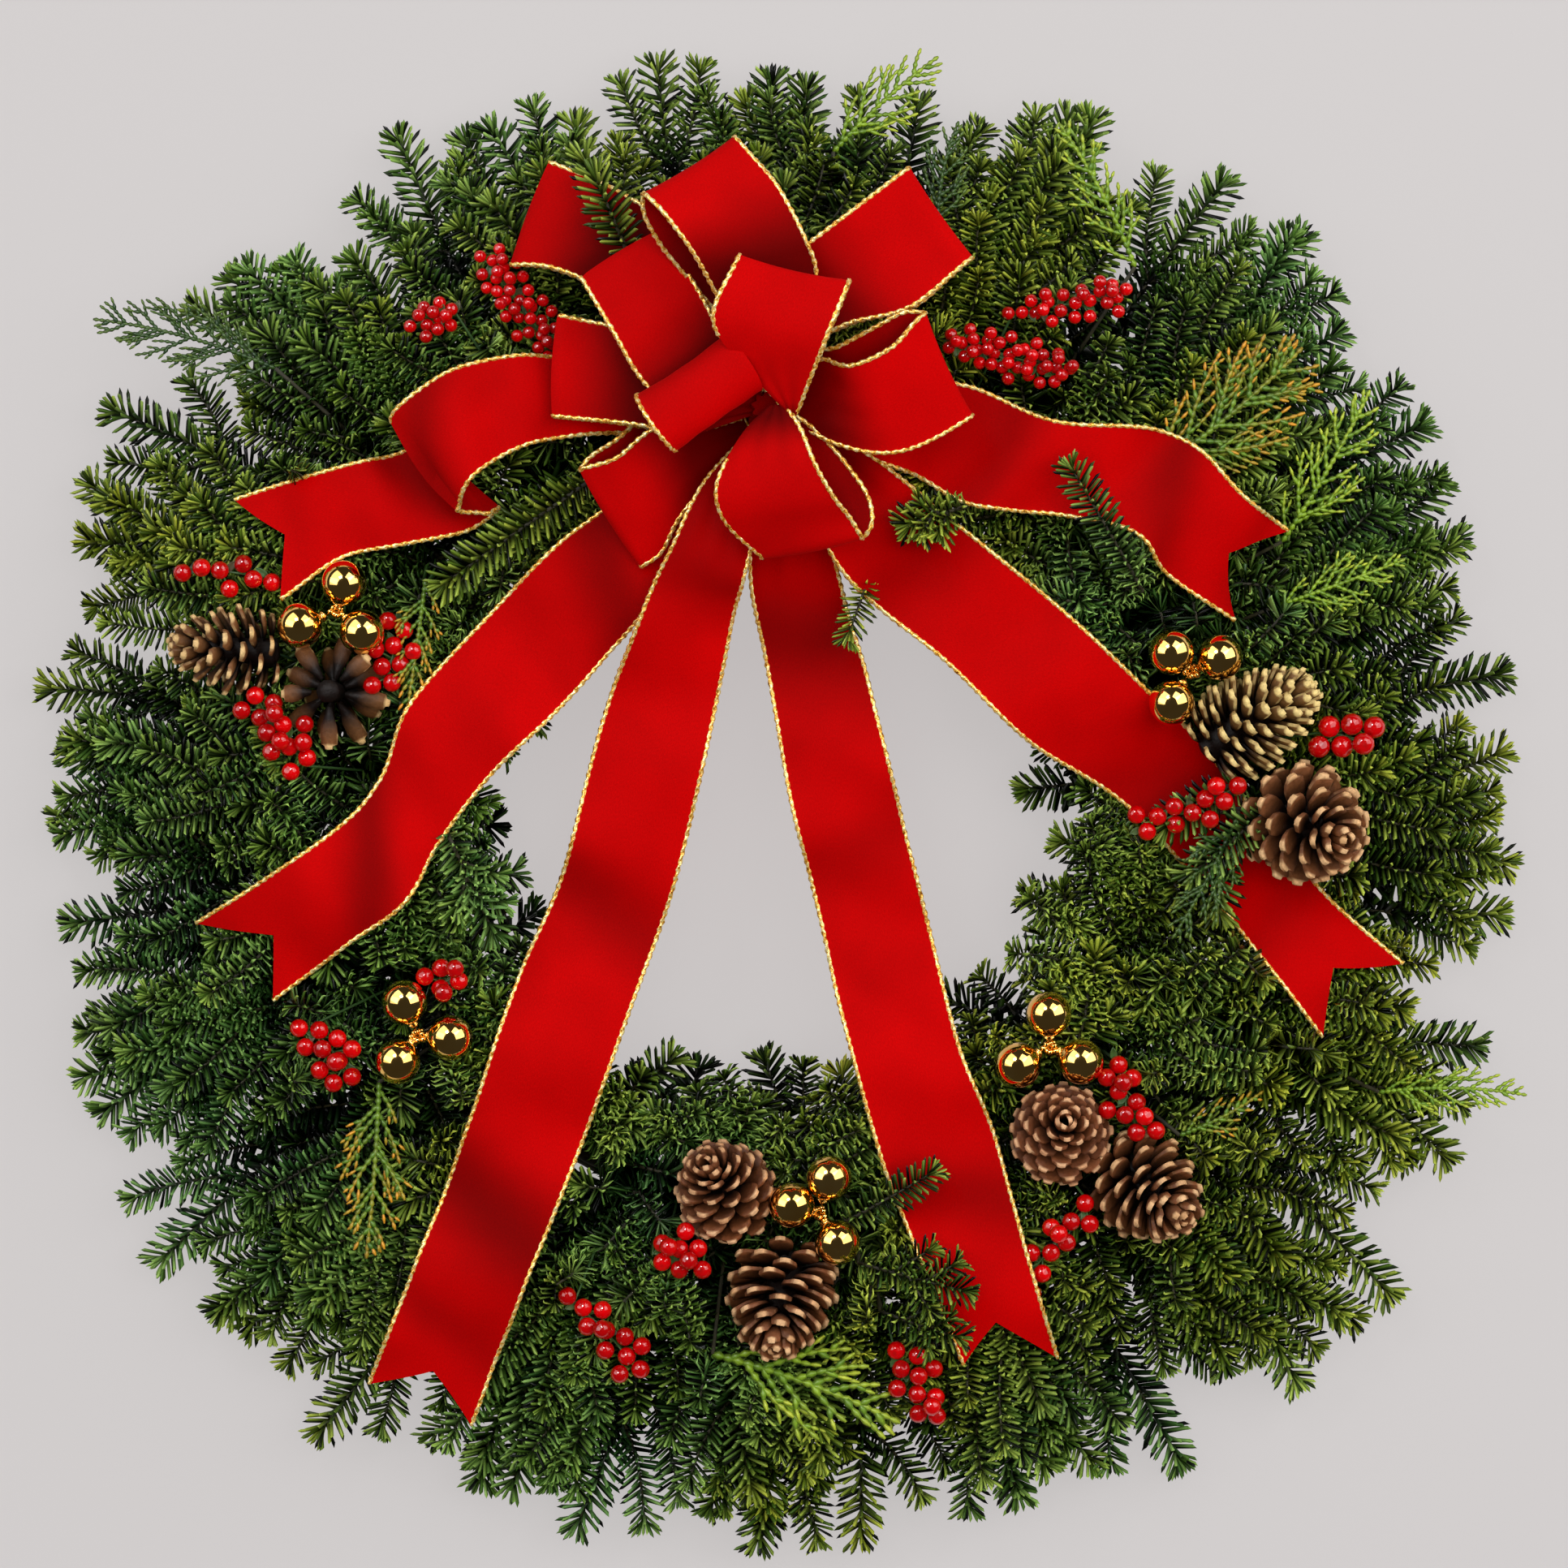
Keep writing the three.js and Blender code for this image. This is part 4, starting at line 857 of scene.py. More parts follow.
def modelConeScale():  # one woody scale along X, length 1, with a thick rounded lip
    clearSelection()
    bpy.ops.mesh.primitive_cube_add(size=1)
    startEdit()
    bpy.ops.mesh.select_all(action="SELECT")
    bpy.ops.mesh.subdivide(number_cuts=3)
    bpy.ops.mesh.select_all(action="DESELECT")
    pickFaces(lambda middle, normal: normal.x > 0.9 and abs(middle.y) < 0.2)
    extrude((0.08, 0, 0), 0.82)
    scale = endEdit()
    for point in scale.data.vertices:
        u, v, w = point.co.x + 0.5, point.co.y * 2, point.co.z * 2
        half = coneScale["width"] * (0.28 + 0.72 * float(smooth(u * 1.5))) * (1 if u < 0.9 else 0.9)
        thick = mix(coneScale["root"], coneScale["lip"], float(smooth(u * 1.2)))
        cup = coneScale["cup"] * (v * v - 0.3) + 0.14 * u * u
        point.co = (u - 0.06 * v * v * u, v * half, w * thick / 2 * (1 - 0.35 * v * v) + cup)
    return scale


conePoints, coneTriangles = stockOf(modelConeScale())
coneAlong = np.clip(conePoints[:, 0], 0, 1)
coneEdge = coneAlong * (np.abs(conePoints[:, 1]) / coneScale["width"]) ** 4
coneLip = np.maximum(np.clip((conePoints[:, 0] - 0.84) / 0.2, 0, 1), 0.9 * coneEdge)


def makeCone(key, spec, material):
    length, width = spec["length"], spec["width"]
    count = spec.get("count", coneScale["count"])
    rng = np.random.default_rng(len(key) * 7 + int(abs(spec["at"][0])))
    f = (np.arange(count) + 0.5) / count
    height = length * (-0.44 + 0.86 * f ** 0.9)
    coreRadius = width * coneScale["core"] * (1 - 0.75 * f)
    lean = np.radians(np.interp(f, *coneLean)) * mix(0.82, 1.0, min(spec["open"], 1.0))
    lean = lean + rng.normal(0, 0.05, count)
    size = (width / 2 * np.interp(f, *coneReach) - coreRadius) / np.maximum(np.sin(lean), 0.55)
    turnAt = np.arange(count) * coneScale["golden"] + rng.normal(0, 0.04, count)
    radial = np.stack([np.cos(turnAt), np.sin(turnAt), 0 * turnAt], 1)
    axis = np.array([0, 0, 1.0])
    out = radial * np.sin(lean)[:, None] + axis * np.cos(lean)[:, None]
    inner = np.cross(out, np.cross(axis, radial))
    flip = np.sign((inner * axis).sum(1))[:, None]
    inner = inner * np.where(flip == 0, 1, flip)  # a scale's upper side faces the tip
    across = np.cross(inner, out)
    root = radial * coreRadius[:, None] + axis * height[:, None]
    breadth = width * spec.get("breadth", coneScale["breadth"]) * np.interp(f, *coneBroad)
    points = (root[:, None] + conePoints[None, :, :1] * (out * size[:, None])[:, None]
              + conePoints[None, :, 1:2] * (across * breadth[:, None])[:, None]
              + conePoints[None, :, 2:] * (inner * width * coneScale["thick"])[:, None])
    heap = Heap()
    lip = coneLip[None] * rng.uniform(0.82, 1.0, count)[:, None]
    tone = rng.uniform(0, 1, count)[:, None]
    heap.add(points, coneTriangles, 0, along=coneAlong[None], lip=lip, tone=tone, tan=spec["tan"])
    spindle = np.stack([0 * f, 0 * f, np.linspace(-0.46, 0.34, count) * length], 1)
    radii = np.interp(np.linspace(0, 1, count), *coneSpindle) * width * spec.get("core", 1)
    heap.addTube(spindle, radii, 10, up=(0, 1, 0), along=0.0, lip=0.0, tone=0.2, tan=spec["tan"])
    heading = Matrix.Rotation(math.radians(spec["heading"]), 4, "Z")
    turn = heading @ Matrix.Rotation(math.radians(90 - spec["tilt"]), 4, "Y")
    thing = heap.build("cone", [material])
    thing.data.transform(Matrix.Translation(spec["at"]) @ turn)
    name = pieceName("cone", key)
    settle(thing, name, [f"cone_{key}"])
    takeCeiling(thing)
    stem = Heap()
    foot = np.array(turn @ Vector((0, 0, -0.42 * length))) + spec["at"]
    stem.addTube(pickPath(spec["at"], foot, -6), coneScale["wire"], 8)
    settle(stem.build("pick", [pickWire]), name + "Wire")


def makeCones():
    material = coneMaterial()
    for key, spec in cones.items():
        makeCone(key, spec, material)
    print("pine cones made")


makeCones()

# gold balls in threes, with tiny beads at the hub
ballTrios = {
    "left_upper": {"hub": (-261, 116, 104), "balls": [(-256, 132, 116), (-282, 107, 118), (-245, 103, 120)]},
    "left_lower": {"hub": (-213, -136, 104),
                   "balls": [(-220, -116, 118), (-193, -137, 118), (-224, -151, 118)]},
    "bottom": {"hub": (25, -241, 104), "balls": [(9, -236, 118), (31, -220, 118), (36, -258, 118)]},
    "right_upper": {"hub": (245, 80, 112), "balls": [(233, 91, 126), (262, 88, 120), (233, 61, 128)]},
    "lower_right": {"hub": (162, -143, 104), "balls": [(161, -123, 118), (143, -153, 118), (180, -151, 118)]},
}
ball = {"radius": 13.5, "wire": 0.8, "stem": 0.9, "beads": 9, "bead": 2.1, "turn": 2.399, "hub": 4.2}


def modelBall():  # a glass ball with its neck and collar pointing down
    clearSelection()
    bpy.ops.mesh.primitive_uv_sphere_add(segments=40, ring_count=28, radius=ball["radius"])
    startEdit()
    pickFaces(lambda middle, normal: middle.z < -ball["radius"] * 0.965)
    extrude((0, 0, -0.8), 0.92)
    extrude((0, 0, -1.6))
    extrude((0, 0, 0), 1.25)
    extrude((0, 0, -1.2))
    extrude((0, 0, -0.2), 0.4)
    return endEdit()


def modelBead():
    clearSelection()
    bpy.ops.mesh.primitive_ico_sphere_add(subdivisions=2, radius=ball["bead"])
    startEdit()
    pickFaces(lambda middle, normal: middle.z < -ball["bead"] * 0.8)
    extrude((0, 0, -0.6), 0.6)
    return endEdit()


def makeBalls():
    shape, faces = stockOf(modelBall())
    beadShape, beadFaces = stockOf(modelBead())
    material = mirrorGoldMaterial()
    for key, spec in ballTrios.items():
        heap = Heap()
        hub = np.array(spec["hub"], float)
        for place in np.array(spec["balls"], float):
            away = place - hub
            aim = np.array(Vector(away).to_track_quat("Z", "Y").to_matrix())
            heap.add((shape @ aim.T + place)[None], faces)
            end = place - unit(away) * (ball["radius"] + 2)
            wire = curvePoints((hub - (0, 0, 3), (hub + end) / 2 + (0, 0, -2), end), 8)
            heap.addTube(wire, ball["wire"], 8)
        for k in range(ball["beads"]):
            angle = k * ball["turn"]
            reach = ball["hub"] * (0.5 + 0.1 * k % 0.6)
            spot = hub + (math.cos(angle) * reach, math.sin(angle) * reach, 3 + 1.3 * (k % 3))
            heap.add((beadShape + spot)[None], beadFaces)
        heap.addTube(pickPath(hub, hub, 8), ball["stem"], 8)
        thing = heap.build("balls", [material])
        settle(thing, pieceName("balls", key), [f"balls_{key}"])
        takeCeiling(thing)
    print("gold balls made")


makeBalls()

# berry sprays are glossy red berries on thin wired stems; an extra one replaces no solid
berrySprays = {
    "bow_left": {"from": (-126, 262, 108), "to": (-170, 322, 104), "count": 40, "size": 0.68},
    "bow_left_far": {"from": (-190, 292, 106), "to": (-208, 288, 110), "count": 12, "size": 0.72},
    "bow_right": {"from": (100, 276, 112), "to": (168, 258, 118), "count": 44, "size": 0.7},
    "bow_right_far": {"from": (140, 292, 108), "to": (205, 303, 114), "count": 24, "size": 0.72},
    "left_far": {"from": (-302, 136, 100), "to": (-345, 142, 102), "count": 7},
    "left_upper": {"from": (-222, 110, 108), "to": (-231, 76, 110), "count": 9},
    "left_middle": {"from": (-279, 24, 108), "to": (-306, 60, 108), "count": 16},
    "left_lower": {"from": (-276, -130, 110), "to": (-254, -156, 110), "count": 14},
    "left_low_small": {"from": (-203, -107, 112), "to": (-192, -102, 114), "count": 6},
    "bottom_left": {"from": (-66, -262, 108), "to": (-53, -266, 112), "count": 9},
    "bottom_far": {"from": (-120, -294, 104), "to": (-86, -328, 102), "count": 17},
    "bottom_right": {"from": (70, -324, 100), "to": (93, -357, 98), "count": 12},
    "right": {"from": (213, -15, 108), "to": (264, 7, 120), "count": 11},
    "right_far": {"from": (326, 44, 106), "to": (344, 40, 108), "count": 9, "size": 1.2},
    "low_right_upper": {"from": (200, -150, 108), "to": (214, -190, 110), "count": 12, "extra": True},
    "low_right_lower": {"from": (186, -236, 106), "to": (146, -282, 104), "count": 13, "extra": True},
}
berry = {
    "radius": 5.6, "stalk": 0.55, "spread": 9.0, "leaf": 9, "leafHalf": 2.1, "leafThick": 0.35,
    "leafEvery": 3, "tries": 90, "apart": 1.96, "stem": (0.95, 0.6), "dip": 0.9,
}


def modelBerry():  # a round berry with a small dimple where the flower was
    clearSelection()
    bpy.ops.mesh.primitive_uv_sphere_add(segments=12, ring_count=8, radius=berry["radius"])
    startEdit("VERT")
    pickPoints(lambda place: place.z > berry["radius"] * 0.98)
    bpy.ops.transform.translate(value=(0, 0, -berry["dip"]))
    return endEdit()


def modelLeafBit():  # a small pointed bract along X
    clearSelection()
    bpy.ops.mesh.primitive_plane_add(size=1)
    startEdit()
    bpy.ops.mesh.select_all(action="SELECT")
    bpy.ops.mesh.subdivide(number_cuts=2)
    leaf = endEdit()
    for point in leaf.data.vertices:
        u, v = point.co.x + 0.5, point.co.y * 2
        half = berry["leafHalf"] * math.sin(math.pi * min(0.97, 0.12 + 0.85 * u))
        point.co = (u * berry["leaf"], v * half, 1.2 * v * v + 1.5 * u * u)
    wall = leaf.modifiers.new("wall", "SOLIDIFY")
    wall.thickness = berry["leafThick"]
    applyModifiers(leaf)
    return leaf


def berryPlace(base, placed, radius, rng):  # the nearest of the drawn spots that is free, or none
    around = unit(rng.normal(0, 1, (berry["tries"], 3)) * (1, 1, 0.6))
    around = around * berry["spread"] * rng.uniform(0.4, 1.6, (berry["tries"], 1))
    around[:, 2] = np.abs(around[:, 2]) * 0.9 + 2
    for away in around[np.argsort((around ** 2).sum(1))]:
        if all(np.linalg.norm(base + away - other) > berry["apart"] * radius for other in placed):
            return base + away
    return None


def makeBerries():
    shape, faces = stockOf(modelBerry())
    leafShape, leafFaces = stockOf(modelLeafBit())
    skin, green = berryMaterial(), bractMaterial()
    dimple = (np.hypot(shape[:, 0], shape[:, 1]) < 0.4) * (shape[:, 2] > 0) * 1.0
    for number, (key, spec) in enumerate(berrySprays.items()):
        heap = Heap()
        size = spec.get("size", 1)
        rng = np.random.default_rng(40 + number)
        start, end = np.array(spec["from"], float), np.array(spec["to"], float)
        lead = pickPath(start, start, 12, 10)
        stem = np.concatenate([lead[:-1], curvePoints((start, (start + end) / 2 + (0, 0, 2), end), 10)])
        heap.addTube(stem, np.linspace(*berry["stem"], len(stem)), 7, 1, tone=0.3, dimple=0)
        placed = []
        for k in range(spec["count"]):
            t = (k + 0.5 + rng.uniform(-0.6, 0.6)) / spec["count"]
            base = mix(start, end, np.clip(t, 0, 1.04))
            place = berryPlace(base, placed, berry["radius"] * size, rng)
            if place is None:
                continue
            placed.append(place)
            aim = np.array(Vector(rng.normal(0, 1, 3) + (0, 0, 1.6)).to_track_quat("Z", "Y").to_matrix())
            heap.add((shape * size @ aim.T + place)[None], faces, 0, tone=rng.uniform(), dimple=dimple)
            stalk = np.linspace(base, place, 3)
            heap.addTube(stalk, berry["stalk"], 6, 1, up=(0.3, 0.2, 1), tone=0.5, dimple=0)
            if k % berry["leafEvery"] == 0:
                heading, tilt = rng.uniform(0, fullTurn), rng.uniform(0, 0.5)
                turn = np.array(Matrix.Rotation(heading, 3, "Z") @ Matrix.Rotation(-tilt, 3, "Y"))
                heap.add((leafShape @ turn.T + base)[None], leafFaces, 1, tone=rng.uniform(), dimple=0)
        thing = heap.build("berries", [skin, green])
        settle(thing, pieceName("berries", key), [] if "extra" in spec else [f"berries_{key}"])
        takeCeiling(thing)
    print("berries made")


makeBerries()

# cedar lies in flat fans of scale leaves; a coarse one has fewer and broader branchlets
cedars = {
    "dark_left": {"at": (-300, 262, 78), "heading": 165, "length": 112, "width": 66, "arch": 14,
                  "kind": "dark"},
    "top": {"at": (34, 392, 74), "heading": 42, "length": 84, "width": 54, "arch": 14, "kind": "light",
            "coarse": 1.35},
    "top_right": {"at": (214, 322, 84), "heading": 118, "length": 96, "width": 50, "arch": 16,
                  "kind": "light", "coarse": 1.35},
    "orange": {"at": (226, 200, 102), "heading": 40, "length": 112, "width": 94, "arch": 14, "kind": "orange",
               "coarse": 1.5},
    "right": {"at": (302, 158, 82), "heading": 60, "length": 104, "width": 58, "arch": 16, "kind": "light",
              "coarse": 1.4},
    "low_right": {"at": (362, -172, 62), "heading": -1, "length": 88, "width": 44, "arch": 16,
                  "kind": "light"},
    "bottom": {"at": (-38, -326, 98), "heading": -20, "length": 118, "width": 84, "arch": 12, "kind": "light",
               "coarse": 2.0},
    "low_left": {"at": (-236, -164, 106), "heading": 266, "length": 104, "width": 62, "arch": 12,
                 "kind": "orange", "coarse": 1.4},
}
moreCedars = [  # sprigs that lie among the fir beside the main fans
    {"at": (-208, 134, 112), "heading": -98, "length": 90, "width": 40, "arch": 8, "kind": "orange"},
    {"at": (274, -4, 110), "heading": -118, "length": 84, "width": 56, "arch": 12, "kind": "dark"},
    {"at": (240, -196, 94), "heading": 28, "length": 56, "width": 34, "arch": 10, "kind": "orange"},
    {"at": (300, 120, 96), "heading": 20, "length": 78, "width": 48, "arch": 14, "kind": "light"},
    {"at": (96, 338, 96), "heading": 80, "length": 70, "width": 44, "arch": 12, "kind": "dark"},
]
cedarLeaf = {
    "segment": 3.0, "wide": 3.0, "overlap": 1.12, "coarse": 1.15, "sideAngle": 42, "twigAngle": 0.72,
    "pitch": 5.2, "twigPitch": 4.4, "stem": 1.2, "stemRows": 24, "branchRows": 14, "twigRows": 8,
    "sideSize": 0.85, "twigSize": 0.72,
}


def modelCedarScales():  # one joint of a branchlet along X: two pairs of scales, length 1
    clearSelection()
    bpy.ops.mesh.primitive_cylinder_add(vertices=4, radius=0.5, depth=0.5, rotation=(0, math.pi / 2, 0))
    bpy.ops.object.transform_apply(location=False, rotation=True, scale=True)
    scales = bpy.context.object
    scales.data.transform(Matrix.Translation((0.25, 0, 0)) @ Matrix.Diagonal((1, 1, 0.5, 1)))
    startEdit()
    pickFaces(lambda middle, normal: normal.x > 0.9)
    extrude((0.5, 0, 0), 0.45)
    pickFaces(lambda middle, normal: normal.x < -0.9)
    bpy.ops.transform.resize(value=(1, 0.5, 0.5))
    return endEdit()


def cedarBranchlets(spec, coarse, rng):  # each as its path and its breadth
    heading = math.radians(spec["heading"])
    forward = np.array([math.cos(heading), math.sin(heading), 0])
    side = np.array([-math.sin(heading), math.cos(heading), 0])
    start = np.array(spec["at"], float)
    length, width, arch = spec["length"], spec["width"], spec["arch"]
    stemRows, branchRows = cedarLeaf["stemRows"], cedarLeaf["branchRows"]
    twigAngle = cedarLeaf["twigAngle"]
    bend = rng.uniform(-1, 1) * 8
    mainStem = curvePoints((start, start + forward * length * 0.5 + side * bend + (0, 0, arch),
                            start + forward * length + (0, 0, arch * 0.25)), stemRows)
    branchlets = [(mainStem, 1.0)]
    count = int(length / (cedarLeaf["pitch"] * coarse))
    for k in range(1, count):
        t = k / count
        foot = mainStem[int(t * (stemRows - 1))]
        reach = width * 0.62 * (1 - t) ** 0.55 * (0.6 + 0.55 * min(1, t * 5)) * rng.uniform(0.72, 1.1)
        for hand in ([1, -1] if k % 3 == 0 else [1 if k % 2 else -1]):
            angle = math.radians(cedarLeaf["sideAngle"] + rng.uniform(-7, 7))
            away = forward * math.cos(angle) + side * math.sin(angle) * hand
            away = away + np.array((0, 0, rng.uniform(-0.15, 0.2)))
            end = foot + unit(away + forward * 0.35) * reach
            branch = curvePoints((foot, foot + unit(away) * reach * 0.55, end), branchRows)
            branchlets.append((branch, cedarLeaf["sideSize"]))
            twigs = reach / (cedarLeaf["twigPitch"] * coarse)
            for j in range(2, int(twigs)):
                u = j / twigs
                n = int(u * (branchRows - 1))
                small = (reach * 0.36 * (1 - u) + 4 * coarse) * rng.uniform(0.7, 1.15)
                base = branch[n]
                direction = unit(branch[min(n + 1, branchRows - 1)] - base)
                crossing = np.cross((0, 0, 1), direction) * math.sin(twigAngle) * (1 if j % 2 else -1)
                turned = direction * math.cos(twigAngle) + crossing
                turned = unit(turned + (0, 0, rng.uniform(-0.1, 0.15)))
                tipAt = base + unit(turned + direction * 0.4) * small
                twig = curvePoints((base, base + turned * small * 0.5, tipAt), cedarLeaf["twigRows"])
                branchlets.append((twig, cedarLeaf["twigSize"]))
    return branchlets


def growCedar(heap, shape, faces, spec, seed):
    rng = np.random.default_rng(seed)
    coarse = spec.get("coarse", cedarLeaf["coarse"])
    for path, size in cedarBranchlets(spec, coarse, rng):
        reach = distancesAlong(path)
        number = max(2, int(reach[-1] / (cedarLeaf["segment"] * coarse)))
        spots = sampleRows(path, reach, np.linspace(0, reach[-1], number + 1))
        away = np.diff(spots, axis=0)
        segment = np.linalg.norm(away, axis=1)[:, None]
        along = away / segment
        across = unit(np.cross((0, 0, 1), along))
        wide = cedarLeaf["wide"] * size * np.linspace(1, 0.7, number)[:, None]
        axes = np.stack([along * segment * cedarLeaf["overlap"], across * wide * coarse,
                         np.cross(along, across) * wide], 1)
        points = spots[:-1, None] + np.einsum("mk,nkj->nmj", shape, axes)
        tip = np.linspace(0, 1, number) ** 2 * (0.4 + 0.6 * rng.uniform()) * (1 if size < 0.9 else 0.6)
        heap.add(points, faces, 0, tip=tip[:, None], tone=rng.uniform(0, 1, number)[:, None])


def makeCedar():
    shape, faces = stockOf(modelCedarScales())
    materials = {kind: cedarMaterial(kind) for kind in cedarTints}
    specs = [(key, spec, [f"cedar_{key}"]) for key, spec in cedars.items()]
    specs += [(f"small_{k + 1}", spec, []) for k, spec in enumerate(moreCedars)]
    for number, (key, spec, nodes) in enumerate(specs):
        heap = Heap()
        growCedar(heap, shape, faces, spec, 900 + number)
        stem = pickPath(spec["at"], np.array(spec["at"]), 4, 10)
        heap.addTube(stem, cedarLeaf["stem"], 7, 1, tone=0.3, tip=0)
        thing = heap.build("cedar", [materials[spec["kind"]], twigBark])
        settle(thing, pieceName("cedar", key), nodes)
        takeCeiling(thing)
    print("cedar made")


makeCedar()

# fir is needles round twigs, and twigs in bunches
needleShape = {"width": 0.128, "flat": 0.55, "bend": 0.14, "widest": 0.84}


def modelNeedle():  # one blunt needle along X, to be copied; length 1
    clearSelection()
    bpy.ops.mesh.primitive_cylinder_add(vertices=3, radius=needleShape["width"] / 2,
                                        depth=needleShape["widest"], end_fill_type="NGON",
                                        rotation=(0, math.pi / 2, 0))
    bpy.ops.object.transform_apply(location=False, rotation=True, scale=True)
    bpy.context.object.data.transform(Matrix.Translation((needleShape["widest"] / 2, 0, 0))
                                      @ Matrix.Diagonal((1, 1, needleShape["flat"], 1)))
    startEdit("FACE")
    pickFaces(lambda middle, normal: normal.x > 0.9)
    bpy.ops.transform.resize(value=(1, 1.3, 1.15))
    extrude((1 - needleShape["widest"], 0, needleShape["bend"]))
    bpy.ops.mesh.merge(type="CENTER")
    return endEdit()


needlePoints, needleTriangles = stockOf(modelNeedle())
needleAlong = np.clip(needlePoints[:, 0], 0, 1)

shoot = {
    "spacing": 0.88, "needle": 18.0, "short": 0.08, "twig": 1.5, "lift": 0.132, "tipRun": 18, "footRun": 16,
    "lean": 67.0, "tipLean": 54.0, "crown": 12, "crownRun": 5, "crownLean": (56, 4), "floor": 1.5,
    "buriedBelow": 0.06, "buriedBreadth": 1.9, "margin": 2.0,
}
needleVary = {  # how much one needle differs from the next
    "place": 0.4, "rise": 6, "lean": 4, "aim": 0.035, "roll": 0.2, "size": (0.88, 1.06), "tone": 0.17,
    "young": 0.06,
}
# the rows of needles along a twig: side, rise from the flat in degrees, and how much lighter or darker they
# are painted: painted light on the upper rows, painted shade on the lower
needleComb = np.array([(1, 18, 0.12), (-1, 26, 0.12), (1, -16, -0.46),
                       (-1, -12, -0.46), (1, 54, 0.2), (-1, 80, 0.1)])
needleRows = np.concatenate([needleComb, needleComb * (-1, 1, 1)])  # and the same on the other side
# how high the foliage stands, from the hole out, and the depth below that over which the needles are painted
# darker, as painted shade
canopy = {
    "radius": [120, 150, 180, 230, 320, 380, 420, 460],
    "top": [20, 34, 66, 96, 92, 64, 34, 12],
    "deep": 38,
}
roofGrid = {"cell": 3.0, "count": 360, "open": 1000.0, "least": 8}
ceiling = np.full((roofGrid["count"], roofGrid["count"]), roofGrid["open"])


def cellsOf(points):
    cells = (points[..., :2] / roofGrid["cell"]) + roofGrid["count"] / 2
    return np.clip(cells.astype(int), 1, roofGrid["count"] - 2)


for covering in ceilings:  # the underside of all that lies on the foliage
    cells = cellsOf(covering)
    for stepX in (-1, 0, 1):
        for stepY in (-1, 0, 1):
            np.minimum.at(ceiling, (cells[:, 0] + stepX, cells[:, 1] + stepY), covering[:, 2])


def under(points, margin):  # points kept below what lies on the foliage
    cells = cellsOf(points)
    roof = ceiling[cells[..., 0], cells[..., 1]] - margin
    low = points.copy()
    low[..., 2] = np.minimum(points[..., 2], np.maximum(roof, roofGrid["least"]))
    return low


def growShoot(heap, path, seed, young, tone, scale=1.0, free=False):  # a twig with combs of needles
    reach = distancesAlong(path)
    length = reach[-1]
    rng = np.random.default_rng(int(seed))
    count = max(10, int(length / shoot["spacing"]))
    at = np.arange(count) + rng.uniform(-needleVary["place"], needleVary["place"], count)
    crownAt = 1 - np.linspace(0, shoot["crownRun"], shoot["crown"]) / length
    at = np.clip(np.concatenate([at / count * (1 - 2 / length), crownAt]), 0, 1)
    crown = np.arange(len(at)) >= count  # the last few stand round the twig's tip
    count = len(at)
    lines = (path, *framesAlong(path))
    base, forward, sideways, upward = (sampleRows(line, reach, at * length) for line in lines)
    hand, rise, light = needleRows[np.arange(count) % len(needleRows)].T
    crownRise = rng.uniform(-20, 60, count)
    rise = np.radians(np.where(crown, crownRise, rise + rng.normal(0, needleVary["rise"], count)))
    out = sideways * (hand * np.cos(rise))[:, None] + upward * np.sin(rise)[:, None]
    nearTip = smooth((at * length - (length - shoot["tipRun"])) / shoot["tipRun"])
    lean = mix(shoot["lean"], shoot["tipLean"], nearTip) + rng.normal(0, needleVary["lean"], count)
    lean[crown] = np.linspace(*shoot["crownLean"], shoot["crown"])
    lean = np.radians(lean)
    needle = forward * np.cos(lean)[:, None] + out * np.sin(lean)[:, None] + upward * shoot["lift"]
    needle = unit(needle + rng.normal(0, needleVary["aim"], (count, 3)))
    facing = upward * 1.3 + sideways * rng.normal(0, needleVary["roll"], (count, 1))  # flat sides up
    across = unit(np.cross(facing, needle))
    size = shoot["needle"] * scale * (1 - shoot["short"] * nearTip)
    nearFoot = mix(0.7, 1.0, smooth(at * length / shoot["footRun"]))
    size = size * rng.uniform(*needleVary["size"], count) * nearFoot
    # height is how near a needle stands to the canopy's top; it sets the painted shade deep in the foliage
    roof = np.interp(np.hypot(base[:, 0], base[:, 1]), canopy["radius"], canopy["top"])
    height = np.ones(count) if free else smooth((base[:, 2] - roof + canopy["deep"]) / canopy["deep"])
    buried = height < shoot["buriedBelow"]  # in the dark, where half as many do, twice as broad
    broad = np.where(buried, shoot["buriedBreadth"], 1.0)[:, None]
    axes = np.stack([needle, across * broad, np.cross(needle, across)], 1) * size[:, None, None]
    points = base[:, None] + np.einsum("mk,nkj->nmj", needlePoints, axes)
    points = points if free else under(points, shoot["margin"])
    points[..., 2] = np.maximum(points[..., 2], shoot["floor"])
    # painted shade: needles deep below the canopy are painted darker, the lower rows darker and the upper
    # rows lighter; the rest is tone that differs at random
    tones = tone * (0.12 + 0.93 * height) + light * (0.3 + 0.7 * height)
    tones = tones + rng.normal(0, needleVary["tone"], count)
    # the fresh green fades with the same painted shade deep in the foliage
    fresh = (young + 0.35 * nearTip) * (0.2 + 0.8 * height) + rng.normal(0, needleVary["young"], count)
    kept = ~buried | (np.arange(count) % 2 == 0)
    heap.add(points[kept], needleTriangles, 0, tone=np.clip(tones, 0, 1)[kept, None],
             young=np.clip(fresh, 0, 1)[kept, None], along=needleAlong[None])
    radii = shoot["twig"] * scale * np.linspace(1.0, 0.5, len(path))
    heap.addTube(path, radii, 5, 1, tone=0.5, young=0, along=0)


